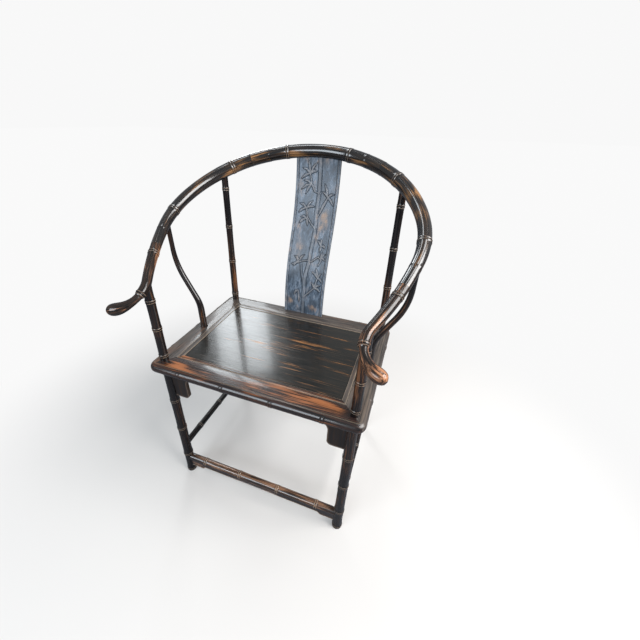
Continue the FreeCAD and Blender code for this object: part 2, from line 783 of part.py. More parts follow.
def splat_slab(label, front, rear, width):
    """The bent slab between two depths from the splat's middle surface, of a given width."""
    across = size("rail_back") - SPLAT_Y
    up = size("rail_height - seat_height - splat_rise_high")
    faces = [bend_edges(0, across, up, size("splat_rise_high"), SPLAT_BEND_SHARES, size(depth))
             for depth in (front, rear)]
    ends = [[side[0].Vertexes[0].Point, side[-1].Vertexes[-1].Point] for side in faces]
    closing = [Part.LineSegment(ends[0][end], ends[1][end]).toShape() for end in (0, 1)]
    wire = Part.Wire(Part.__sortEdges__(faces[0] + faces[1] + closing))
    profile = doc.addObject("Part::Feature", label + "_profile")
    profile.Shape = wire
    slab = doc.addObject("Part::Extrusion", label)
    slab.Base = profile
    slab.Dir = Vector(0, -1, 0)
    slab.DirMode = "Custom"
    slab.Solid = True
    slab.Symmetric = True
    bind(slab, LengthFwd=width)
    slab.Placement = at(0, SPLAT_Y, SEAT_TOP, 90)
    return slab


def splat_tenons(slack):
    """Tenons into the seat rail and into the crest, or their mortises when given some slack."""
    wide = "splat_tenon_width + 2 * (%s)" % slack
    thick = "splat_tenon_thickness + 2 * (%s)" % slack
    low = centred_box("splat_low_tenon", wide, thick, "2 * splat_tenon_depth + 2 * (%s)" % slack,
                      at(0, SPLAT_Y, SEAT_TOP))
    high = centred_box("splat_high_tenon", wide, thick, "4 * splat_tenon_depth + 2 * (%s)" % slack,
                       at(0, size("rail_back"), size("rail_height - 2 * splat_tenon_depth")))
    return low, high


splat_rooms = rail_run("splat_room", "-splat_width", "splat_width", "rail_radius_crest + fit")
splat_field = splat_slab("splat_field", "-splat_thickness",
                         "-splat_thickness / 2 + splat_field_depth",
                         "splat_width - 2 * splat_border")
splat_board = cut("splat_board", splat_slab("splat_slab", "-splat_thickness / 2",
                                            "splat_thickness / 2", "splat_width"),
                  splat_field, *splat_rooms)
back_splat = fuse("back_splat", splat_board, *splat_tenons("0"))
splat_mortises = splat_tenons("fit")


# S-shaped posts between the seat and the arms, thinner upwards.

ARM_FOOT = Vector(SEAT_X - size("arm_post_inset"), SEAT_MIDDLE - size("arm_post_ahead"), SEAT_TOP)
ARM_HEAD = rail_frame("arm_post_place").Base


def arm_post():
    """The S from its collar on the seat to the rail, coped under it."""
    step = ARM_HEAD - ARM_FOOT
    across = math.hypot(step.x, step.y)
    low_rise, high_rise = [step.z * share for share in ARM_POST_RISE_SHARES]
    up = step.z - low_rise - high_rise
    lean, low, high = double_bend(across, up, ARM_POST_BEND_SHARES)
    base = at(ARM_FOOT.x, ARM_FOOT.y, ARM_FOOT.z, math.degrees(math.atan2(step.y, step.x)))

    def section(x, z, leaning, radius):
        facing = Rotation(Vector(0, 1, 0), math.degrees(leaning) - 90)
        return base.multiply(Placement(Vector(x, 0, z), facing)), radius

    sections = [section(0, 0, 0, "arm_post_radius_low + node_height"),
                section(0, size("arm_post_collar_height"), 0, "arm_post_radius_low")]
    thinner = "%s + (%s - %s) * %r"
    sections += [section(low * (1 - math.cos(lean * share)),
                         low_rise + low * math.sin(lean * share), lean * share,
                         thinner % ("arm_post_radius_low", "arm_post_radius_waist",
                                    "arm_post_radius_low", share))
                 for share in BEND_SECTION_SHARES]
    sections += [section(across - high * (1 - math.cos(lean * share)),
                         low_rise + up - high * math.sin(lean * share), lean * share,
                         thinner % ("arm_post_radius_top", "arm_post_radius_waist",
                                    "arm_post_radius_top", share))
                 for share in BEND_SECTION_SHARES[::-1]]
    top = low_rise + up
    bent = round_bar("arm_post_bend", sections)
    head = cylinder("arm_post_head", "arm_post_radius_top",
                    "%r - rail_radius_arm / 3" % (step.z - top),
                    base.multiply(Placement(Vector(across, 0, top), Rotation())))
    coped = cut("arm_post_coped", head, *rail_rooms("arm_post_room", "arm_post_place",
                                                    "rail_radius_elbow"))
    return fuse("arm_post_right", bent, coped, *arm_post_pins("0"))


def arm_post_pins(slack):
    """Its round tenons, or the sockets for them when given some slack."""
    down = Placement(ARM_FOOT - Vector(0, 0, size("arm_post_tenon_depth + " + slack)), Rotation())
    low = cylinder("arm_post_low_pin", "arm_post_tenon_radius + " + slack,
                   "2 * arm_post_tenon_depth + " + slack, down)
    up = Placement(ARM_HEAD - Vector(0, 0, size("post_tenon_length - post_tenon_rise")), Rotation())
    high = cylinder("arm_post_high_pin", "arm_post_top_tenon_radius + " + slack,
                    "post_tenon_length + " + slack, up)
    return low, high


arm_post_right = arm_post()
arm_post_left = mirrored("arm_post_left", arm_post_right)
arm_low_socket, arm_high_socket = arm_post_pins("fit")


# Seat frame: four rails mitred at 45 degrees, cut from one half-round edged blank. The side
# rails' tenons run through the front and rear rails, and the posts pass through both.

def frame_blank():
    """The whole frame before it is parted at the mitres."""
    half_x, half_y = "seat_width / 2", "seat_depth / 2"
    corners = [("-" + half_x, "-" + half_y), (half_x, "-" + half_y), (half_x, half_y),
               ("-" + half_x, half_y)]
    slab = board("frame_slab", "XY_Plane", corners, "frame_thickness",
                 at(0, SEAT_MIDDLE, SEAT_TOP - size("frame_thickness / 2")))

    def upright(edge):
        return edge.BoundBox.ZLength > size("frame_thickness / 2")

    def flat(edge):
        return edge.BoundBox.ZLength < size("frame_thickness / 2")

    rounded(slab, "frame_corners", "frame_corner_radius", upright)
    rounded(slab, "frame_edge", "frame_edge_radius", flat)
    opening = centred_box("frame_opening", "seat_width - 2 * frame_member_width",
                          "seat_depth - 2 * frame_member_width", "2 * frame_thickness",
                          at(0, SEAT_MIDDLE, SEAT_TOP))
    groove = centred_box(
        "board_groove", "seat_width - 2 * frame_member_width + 2 * board_tongue_depth + 2 * fit",
        "seat_depth - 2 * frame_member_width + 2 * board_tongue_depth + 2 * fit",
        "board_tongue_thickness + fit",
        at(0, SEAT_MIDDLE, BOARD_UNDER + size("(board_tongue_thickness + fit) / 2")))
    return cut("frame_blank", slab, opening, groove, bead_line())


def bead_line():
    """The fine groove that leaves a bead round the opening."""
    inner = "%s - 2 * frame_member_width + 2 * frame_bead_width"
    rings = [centred_box("bead_line_" + name, (inner + grow) % "seat_width",
                         (inner + grow) % "seat_depth", "2 * frame_groove_depth",
                         at(0, SEAT_MIDDLE, SEAT_TOP))
             for name, grow in (("outer", " + 2 * frame_groove_width"), ("inner", ""))]
    return cut("bead_line", *rings)


def edge_node(label, x, y, turn):
    """A bamboo node round the frame's edge; turn 0 faces the front."""
    deep, thick = "2 * frame_edge_radius", "frame_thickness"
    corners = [("-node_height", "0"), (deep, "0"), (deep, thick), ("-node_height", thick)]
    band = board(label, "YZ_Plane", corners, "node_width", at(x, y, FRAME_UNDER, turn))

    def front(edge):
        ends = [vertex.Point for vertex in edge.Vertexes]
        return max(end.y for end in ends) < 0 and edge.BoundBox.XLength > size("node_width / 2")

    return rounded(band, label + "_round", "frame_edge_radius", front)


blank = frame_blank()
front_x, front_y, open_x = "seat_width / 2", "seat_depth / 2", "(seat_width / 2 - frame_member_width)"
open_y = "(seat_depth / 2 - frame_member_width)"
frame_level = at(0, SEAT_MIDDLE, SEAT_TOP)
front_wedge = board("front_rail_wedge", "XY_Plane", [
    ("-" + front_x, "-" + front_y), (front_x, "-" + front_y), (open_x, "-" + open_y),
    ("-" + open_x, "-" + open_y)], "4 * frame_thickness", frame_level)
rear_wedge = board("rear_rail_wedge", "XY_Plane", [
    ("-" + front_x, front_y), ("-" + open_x, open_y), (open_x, open_y), (front_x, front_y)],
    "4 * frame_thickness", frame_level)
side_wedge = board("side_rail_wedge", "XY_Plane", [
    (front_x, "-" + front_y), (front_x, front_y), (open_x, open_y), (open_x, "-" + open_y)],
    "4 * frame_thickness", frame_level)


def corner_tenons(label, slack):
    """The side rail's tenons in one bar, or the mortises for them when given some slack."""
    return centred_box(label, "corner_tenon_width + 2 * (%s)" % slack,
                       "seat_depth - 2 * corner_tenon_cover + 2 * (%s)" % slack,
                       "corner_tenon_thickness + 2 * (%s)" % slack,
                       at(LEG_X, SEAT_MIDDLE, SEAT_TOP - size("frame_thickness / 2")))


def post_hole(label, knee, head, radius):
    """The hole through the seat frame for a post."""
    start = Placement(Vector(0, 0, -size("overrun")), Rotation())
    return cylinder(label, radius + " + fit", "frame_thickness + 2 * overrun",
                    along(knee, head).multiply(start))


front_holes = pair("front_post_hole", post_hole("front_post_hole", FRONT_KNEE, FRONT_HEAD,
                                                "front_post_radius"))
rear_holes = pair("rear_post_hole", post_hole("rear_post_hole", REAR_KNEE, REAR_HEAD,
                                              "rear_post_radius_low"))
mortises = pair("corner_mortises", corner_tenons("corner_mortises", "fit"))


def apron_groove(label, length, placement):
    """The groove under the frame for an apron's tongue."""
    return centred_box(label, length, "apron_thickness + 2 * fit", "2 * apron_tongue + 2 * fit",
                       placement)


CROSS_GROOVE = "seat_width - 2 * leg_inset_side"
SIDE_GROOVE = "seat_depth - front_leg_inset - rear_leg_inset"
front_groove = apron_groove("front_apron_groove", CROSS_GROOVE, at(0, FRONT_LEG_Y, FRAME_UNDER))
rear_groove = apron_groove("rear_apron_groove", CROSS_GROOVE, at(0, REAR_LEG_Y, FRAME_UNDER))
side_groove = apron_groove("side_apron_groove", SIDE_GROOVE,
                           at(LEG_X, SIDE_MIDDLE_Y, FRAME_UNDER, 90))
side_grooves = pair("side_apron_grooves", side_groove)


def end_rail(label, wedge, edge_y, turn, holes, cuts):
    """The front or the rear rail."""
    rail = common(label + "_mitred", blank, wedge)
    nodes = [edge_node(label + "_node", size(node), edge_y, turn) for node in CROSS_NODES]
    noded = fuse(label + "_noded", rail, *nodes)
    return cut(label, noded, *holes, *mortises, *batten_mortises, *side_grooves, *cuts)


seat_rail_front = end_rail("seat_rail_front", front_wedge, SEAT_FRONT, 0, front_holes,
                           (front_groove,))
seat_rail_rear = end_rail("seat_rail_rear", rear_wedge, SEAT_REAR, 180, rear_holes,
                          (rear_groove, splat_mortises[0]))


def side_rail():
    """The right rail with the tenons that run through the front and rear rails."""
    rail = common("side_rail_mitred", blank, side_wedge)
    nodes = [edge_node("side_rail_node", SEAT_X, SEAT_MIDDLE + size(node), 90)
             for node in SIDE_NODES]
    whole = fuse("side_rail_tenoned", rail, corner_tenons("corner_tenons", "0"), *nodes)
    return cut("seat_rail_right", whole, front_holes[0], rear_holes[0], side_groove,
               front_groove, rear_groove, arm_low_socket)


seat_rail_right = side_rail()
seat_rail_left = mirrored("seat_rail_left", seat_rail_right)


# Horseshoe rail: five timbers, half-lapped in its own plane and locked with square keys.

CREST_LAP = ("crest_scarf - scarf_length / 2", "crest_scarf + scarf_length / 2")
ARM_LAP = ("arm_scarf - scarf_length / 2", "arm_scarf + scarf_length / 2")


def lap_waste(label, place, ahead, above):
    """What a half-lap removes past a place: ahead of it or behind, above the plane or below."""
    reach, breadth, depth = "scarf_length + overrun", "6 * rail_radius_crest", "2 * rail_radius_crest"
    corner = Vector(0 if ahead else -size(reach), -size(breadth) / 2,
                    0 if above else -size(depth))
    return box(label, reach, breadth, depth,
               rail_frame(place).multiply(Placement(corner, Rotation())))


def grip_sections():
    """Sections of the arm's grip, from the last node to its club end."""
    neck = "grip_start + node_width / 2"
    reach = "(grip_length - node_width / 2)"
    sections = [(rail_frame("grip_start"), "rail_radius_arm + node_height"),
                (rail_frame(neck), "grip_radius * %r" % GRIP_NECK_SHARE)]
    sections += [(rail_frame("%s + %s * %r" % (neck, reach, place)), "grip_radius * %r" % share)
                 for place, share in GRIP_SHARES]
    return sections


def key_box(label, place):
    return centred_box(label, "scarf_key_length", "scarf_key_width", "4 * rail_radius_crest",
                       rail_frame(place))


def scarf_key(label, place, thickness):
    """The key that locks a scarf, trimmed flush with the rail."""
    near = rail_run(label + "_rail", "%s - scarf_length / 2" % place,
                    "%s + scarf_length / 2" % place, thickness)
    return common(label, key_box(label + "_bar", place), near[0])


crest_keys = pair("crest_key_hole", key_box("crest_key_hole", "crest_scarf"))
arm_key_hole = key_box("arm_key_hole", "arm_scarf")
crest_key = scarf_key("crest_key", "crest_scarf", "rail_radius_back")
arm_key = scarf_key("arm_key", "arm_scarf", "rail_radius_elbow")
scarf_keys = compound("scarf_keys", crest_key, mirrored("crest_key_left", crest_key), arm_key,
                      mirrored("arm_key_left", arm_key))

crest_wastes = pair("crest_lap_waste", lap_waste("crest_lap_waste", CREST_LAP[0], True, False))
crest_half = [
    *rail_bar("crest_middle", "0", "splat_width / 2"),
    round_bar("crest_side", rail_sections("splat_width / 2", "crest_scarf - rail_scarf_room")),
    *rail_bar("crest_end", "crest_scarf - rail_scarf_room", CREST_LAP[1]),
]
crest_blank = fuse("crest_blank", *crest_half,
                   *[mirrored("crest_half_left", run) for run in crest_half])
crest_rail = cut("crest_rail", crest_blank, *crest_wastes, *crest_keys, splat_mortises[1])

front_socket = pin_into_rail("front_post_socket", FRONT_KNEE, FRONT_HEAD,
                             "front_post_tenon_radius", "fit")
rear_socket = pin_into_rail("rear_post_socket", REAR_KNEE, REAR_HEAD,
                            "rear_post_tenon_radius", "fit")
shoulder_blank = fuse(
    "shoulder_blank",
    *rail_bar("shoulder_rear_end", CREST_LAP[0], "crest_scarf + rail_scarf_room"),
    round_bar("shoulder_rear", rail_sections("crest_scarf + rail_scarf_room",
                                             "rear_post_place - rail_post_room")),
    *rail_bar("shoulder_middle", "rear_post_place - rail_post_room",
              "rear_post_place + rail_post_room"),
    round_bar("shoulder_side", rail_sections("rear_post_place + rail_post_room",
                                             "arm_post_place - rail_post_room")),
    *rail_bar("shoulder_front_end", "arm_post_place - rail_post_room", ARM_LAP[1]))
shoulder_rail_right = cut("shoulder_rail_right", shoulder_blank,
                          lap_waste("shoulder_upper_waste", CREST_LAP[1], False, True),
                          lap_waste("shoulder_lower_waste", ARM_LAP[0], True, False),
                          crest_keys[0], arm_key_hole, rear_socket, arm_high_socket)
shoulder_rail_left = mirrored("shoulder_rail_left", shoulder_rail_right)
arm_blank = fuse(
    "arm_blank",
    *rail_bar("arm_rear_end", ARM_LAP[0], "arm_scarf + rail_scarf_room"),
    round_bar("arm_side", rail_sections("arm_scarf + rail_scarf_room",
                                        "front_post_place - rail_post_room")),
    *rail_bar("arm_joint", "front_post_place - rail_post_room",
              "front_post_place + rail_post_room"),
    round_bar("arm_grip", rail_sections("front_post_place + rail_post_room", "grip_start")
              + grip_sections()))
arm_rail_right = cut("arm_rail_right", arm_blank,
                     lap_waste("arm_upper_waste", ARM_LAP[1], False, True),
                     arm_key_hole, front_socket)
arm_rail_left = mirrored("arm_rail_left", arm_rail_right)


# Check and write every piece.

PIECES = (
    crest_rail, shoulder_rail_right, shoulder_rail_left, arm_rail_right, arm_rail_left,
    scarf_keys, back_splat, front_leg_right, front_leg_left, rear_leg_right, rear_leg_left,
    arm_post_right, arm_post_left, seat_rail_front, seat_rail_rear, seat_rail_right,
    seat_rail_left, seat_board_front, seat_board_middle, seat_board_rear, seat_batten_right,
    seat_batten_left, apron_front, apron_rear, apron_right, apron_left, foot_rail,
    foot_rail_apron, stretcher_right, stretcher_left, stretcher_rear,
)

doc.recompute()
for item in doc.Objects:
    if "Invalid" in item.State or "Error" in item.State:
        raise RuntimeError("%s failed: %s" % (item.Label, item.getStatusString()))
for piece in PIECES:
    if piece.Shape.isNull() or not piece.Shape.isValid() or not piece.Shape.Solids:
        raise RuntimeError("%s has no valid solid" % piece.Label)

os.makedirs("parts", exist_ok=True)
for piece in PIECES:
    piece.Shape.exportStep("parts/%s.step" % piece.Label)
    print("%s: %d solid, %.0f mm3" % (piece.Label, len(piece.Shape.Solids), piece.Shape.Volume))
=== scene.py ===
import math
from functools import partial

import bmesh
import bpy
import numpy
from mathutils import Matrix, Vector, noise


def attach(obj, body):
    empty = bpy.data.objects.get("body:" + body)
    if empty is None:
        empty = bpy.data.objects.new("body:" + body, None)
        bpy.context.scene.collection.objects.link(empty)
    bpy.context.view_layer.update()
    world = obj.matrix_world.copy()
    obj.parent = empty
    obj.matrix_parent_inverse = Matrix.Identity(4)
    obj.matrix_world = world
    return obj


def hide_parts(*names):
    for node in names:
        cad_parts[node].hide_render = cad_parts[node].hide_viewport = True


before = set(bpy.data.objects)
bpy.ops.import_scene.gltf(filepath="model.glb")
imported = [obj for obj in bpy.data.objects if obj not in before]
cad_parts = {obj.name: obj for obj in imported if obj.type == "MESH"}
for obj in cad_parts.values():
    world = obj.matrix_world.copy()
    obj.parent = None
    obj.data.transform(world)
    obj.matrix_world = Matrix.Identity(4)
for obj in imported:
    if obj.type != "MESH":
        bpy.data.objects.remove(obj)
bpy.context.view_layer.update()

# Front and rear legs. Each is one straight timber, carved round with bamboo nodes, that carries
# on through the seat frame as a slimmer post and is tenoned up into the horseshoe rail.
# Black-brown lacquer over reddish wood, rubbed to tan on the nodes.

SEAT_X, SEAT_FRONT, SEAT_REAR, SEAT_TOP = 0.296, -0.2459, 0.1911, 0.49
SEAT_MIDDLE = (SEAT_FRONT + SEAT_REAR) / 2
FRAME_THICKNESS, FRAME_MEMBER = 0.028, 0.07
FRAME_UNDER = SEAT_TOP - FRAME_THICKNESS
LEG_X, FRONT_LEG_Y, REAR_LEG_Y = 0.2655, -0.2089, 0.1701
FRONT_FOOT, REAR_FOOT = Vector((0.2675, -0.2219, 0)), Vector((0.2675, 0.1751, 0))
FRONT_KNEE = Vector((LEG_X, FRONT_LEG_Y, FRAME_UNDER))
REAR_KNEE = Vector((LEG_X, REAR_LEG_Y, FRAME_UNDER))

# The horseshoe rail's middle line, which the posts aim at: tangent arcs in one tilted plane, as
# radius, end measured along the rail, and which way it turns
RAIL_BACK, RAIL_HEIGHT, RAIL_TILT = 0.2706, 0.9665, math.radians(28.4)
RAIL_ARCS = ((0.332, 0.42, 1), (0.248, 0.545, 1), (0.75, 0.727, 1), (0.067, 0.86, -1))
FRONT_POST_PLACE, ARM_POST_PLACE, REAR_POST_PLACE = 0.737, 0.524, 0.29


def rail_spine(place):
    """The rail's frame at a place along it: X outward, Y off its plane, Z along the rail."""
    point, heading, start = Vector((0, 0, 0)), 0, 0
    for radius, end, turn in RAIL_ARCS:
        reach = radius * turn
        centre = point - Vector((math.sin(heading), math.cos(heading), 0)) * reach
        stop = min(place, end)
        heading += (stop - start) / reach
        point = centre + Vector((math.sin(heading), math.cos(heading), 0)) * reach
        start = stop
        if place <= end:
            break
    forward = Vector((math.cos(heading), -math.sin(heading), 0))
    upright = Vector((0, 0, 1))
    axes = Matrix((upright.cross(forward), upright, forward)).transposed().to_4x4()
    tilted = Matrix.Translation((0, RAIL_BACK, RAIL_HEIGHT)) @ Matrix.Rotation(RAIL_TILT, 4, "X")
    return tilted @ Matrix.Translation(point) @ axes


FRONT_HEAD = rail_spine(FRONT_POST_PLACE).translation
REAR_HEAD = rail_spine(REAR_POST_PLACE).translation


def swept(outline, stations, carry):
    """A closed bar: an outline carried from station to station. Each of its points also gets
    its place in the timber, for the grain, and how far it is rubbed, from 1, bare, to -1, the
    deepest painted shade in a hollow."""
    bar = bmesh.new()
    spoke = bar.verts.layers.int.new("spoke")
    grain = bar.verts.layers.float_vector.new("grain")
    rubbed = bar.verts.layers.float.new("rubbed")
    ring = bmesh.ops.create_circle(bar, segments=len(outline), radius=1)["verts"]
    for number, vert in enumerate(ring):
        vert[spoke] = number
    edges = list(bar.edges)
    ends = [edges]
    for station in stations:
        if station is not stations[0]:
            grown = bmesh.ops.extrude_edge_only(bar, edges=edges)["geom"]
            ring = [item for item in grown if isinstance(item, bmesh.types.BMVert)]
            known = set(ring)
            edges = [item for item in grown if isinstance(item, bmesh.types.BMEdge)
                     and known.issuperset(item.verts)]
        for vert in ring:
            vert.co, vert[grain], vert[rubbed] = carry(outline[vert[spoke]], station)
    ends.append(edges)
    for end in ends:
        bmesh.ops.contextual_create(bar, geom=end)
    return bar


def fading(away, reach):
    """1 in the middle, and softly less with the distance from it."""
    return numpy.exp(-(away / reach) ** 2)


def finished(bar, name, node, finish, shift=0, sharp=35, worn_spots=()):
    """Turn a carved piece into the object that stands for its CAD node. The shift moves the
    grain, so that no two timbers look alike. Worn spots are places that hands, shoes and cloth
    have rubbed, and on the foot rail's top also a painted highlight: (x, y, z, reach, depth),
    and less worn ones have a depth below nothing."""
    grain = bar.verts.layers.float_vector["grain"]
    wear_and_highlight = bar.verts.layers.float.new("wear_and_highlight")
    for vert in bar.verts:
        vert[grain] = vert[grain] + Vector((shift, shift, shift))
        vert[wear_and_highlight] = sum(depth * fading((vert.co - Vector(spot)).length, reach)
                            for *spot, reach, depth in worn_spots)
    bmesh.ops.recalc_face_normals(bar, faces=bar.faces)
    for face in bar.faces:
        face.smooth = True
    mesh = bpy.data.meshes.new(name)
    bar.to_mesh(mesh)
    bar.free()
    mesh.set_sharp_from_angle(angle=math.radians(sharp))
    mesh.materials.append(finish)
    piece = bpy.data.objects.new(name, mesh)
    bpy.context.scene.collection.objects.link(piece)
    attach(piece, "root")
    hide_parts(node)


def both_sides(bar, name, node, finish, shifts, worn_right=(), worn_left=()):
    """A right-hand piece and its left-hand twin, each with its own shift and worn spots."""
    twin = bar.copy()
    bmesh.ops.scale(twin, vec=(-1, 1, 1), verts=twin.verts)
    for timber, side, shift, worn_spots in ((bar, "_right", shifts[0], worn_right),
                                            (twin, "_left", shifts[1], worn_left)):
        finished(timber, name + side, node + side, finish, shift, worn_spots=worn_spots)


ROUND_STEPS = 72
ROUND = [Vector((math.cos(turn), math.sin(turn), 0))
         for turn in (math.tau * step / ROUND_STEPS for step in range(ROUND_STEPS))]
NODE_REACH = 0.009
NODE_STEPS = (-1, -0.72, -0.54, -0.45, -0.36, -0.27, -0.15, 0,
              0.15, 0.27, 0.36, 0.45, 0.54, 0.72, 1)
SWELL_HEIGHT, SWELL_REACH = 0.0006, 0.0052
RIDGE_HEIGHT, RIDGE_REACH, RIDGE_AWAY = 0.0008, 0.001, 0.003
HOLLOW_REACH, HOLLOW_AWAY, NODE_PAINTED_SHADE = 0.0012, 0.0056, 0.8
WAIST = 0.03
KNIFE_WOBBLE, WOBBLES_ROUND, WOBBLES_ALONG = 0.01, 2.2, 22


def node_rise(away):
    """How far a bamboo node stands proud at a distance from its middle, and how far it is
    rubbed: a low swelling with two fine ridges, and painted shade between and beside them."""
    ridge = fading(abs(away) - RIDGE_AWAY, RIDGE_REACH)
    hollow = fading(abs(away) - HOLLOW_AWAY, HOLLOW_REACH) + fading(away, HOLLOW_REACH)
    rise = SWELL_HEIGHT * fading(away, SWELL_REACH) + RIDGE_HEIGHT * ridge
    return rise, ridge - NODE_PAINTED_SHADE * hollow


def bamboo(start, end, thickness, nodes, step=0.012):
    """Stations of a bamboo member: place, radius, and rubbing with painted shade by the nodes.
    It is slightly waisted between nodes."""
    count = max(2, round((end - start) / step))
    places = {start + (end - start) * share / count for share in range(count + 1)}
    places = {place for place in places if all(abs(place - node) > NODE_REACH for node in nodes)}
    places |= {node + NODE_REACH * share for node in nodes for share in NODE_STEPS
               if start < node + NODE_REACH * share < end}
    stations = []
    bounds = sorted([start, end, *nodes])
    for place in sorted(places | {start, end}):
        low = max(mark for mark in bounds if mark <= place)
        high = min(mark for mark in bounds if mark >= place)
        along = (place - low) / (high - low) if high > low else 0
        rise, ridge = 0, 0
        for node in nodes:
            lift, rub = node_rise(place - node)
            rise, ridge = rise + lift, ridge + rub
        waisted = 1 - WAIST * math.sin(math.pi * along)
        stations.append((place, thickness(place) * waisted + rise, ridge))
    return stations


def carved_round(spine):
    """Carry a round outline along a spine, with the slight unevenness that the knife leaves. A
    station with a fourth value keeps only that half, as a lap does."""
    def carry(point, station):
        place, radius, ridge = station[:3]
        cut = Vector((point.x * WOBBLES_ROUND, point.y * WOBBLES_ROUND, place * WOBBLES_ALONG))
        uneven = 1 + KNIFE_WOBBLE * noise.noise(cut)
        local = Vector((point.x * radius * uneven, point.y * radius * uneven, 0))
        if len(station) > 3 and local.y * station[3] < 0:
            local.y = 0
        return spine(place) @ local, local + Vector((0, 0, place)), ridge
    return carry


def tapered(*marks):
    """A radius that changes steadily between (place, radius) marks."""
    places, radii = zip(*marks)
    return lambda place: float(numpy.interp(place, places, radii))


def leg_spine(foot, knee, head):
    """The leg's middle line at each height, bent a little at the seat frame."""
    def spine(height):
        low, high = (foot, knee) if height < knee.z else (knee, head)
        return Matrix.Translation(low.lerp(high, (height - low.z) / (high.z - low.z)))
    return spine


def wired(tree, kind, inlets, outlet=0, **settings):
    """Add a node with its inlets wired or set, and give one of its outlets."""
    item = tree.nodes.new(kind)
    for key, value in settings.items():
        setattr(item, key, value)
    for key, value in inlets.items():
        if isinstance(value, bpy.types.NodeSocket):
            tree.links.new(value, item.inputs[key])
        else:
            item.inputs[key].default_value = value
    return item.outputs[outlet]


# What every lacquer here has in common. Streaks mix fine fibres with broad patches, a worn place
# has a darker halo, a rubbed edge is mottled, and tool marks follow the fibres and the knife.
RAGGED = 0.62
FIBRE_SHARE, PATCH_SHARE = 0.45, 0.55
FIBRE_SPAN, CLOUD_SPAN, GLOSS_SPAN = (0.35, 0.75), (0.38, 0.54), (0.32, 0.68)
HALO_REACH, HALO_SHARE, HALO_SHADE = 0.07, 0.55, 0.35
WORN_SHARE, WORN_ROUGHER, BARE_ROUGHER = 0.85, 0.1, 0.25
CLOUD_SHADE, HOLLOW_SHADE, HOLLOW_SHARE = 0.6, 0.25, 0.85
BARE_SPAN, HOLLOW_SPAN = (0.25, 0.9), (0.1, 0.8)
MOTTLE, MOTTLE_SPAN, MOTTLE_LEAST = (700, 700, 700), (0.38, 0.6), 0.35
KNIFE_MARKS, FIBRE_DEPTH, KNIFE_DEPTH, MARK_DEPTH = (45, 45, 14), 0.7, 1.2, 0.0009


def shaded(colour, share):
    return tuple(part * share for part in colour)


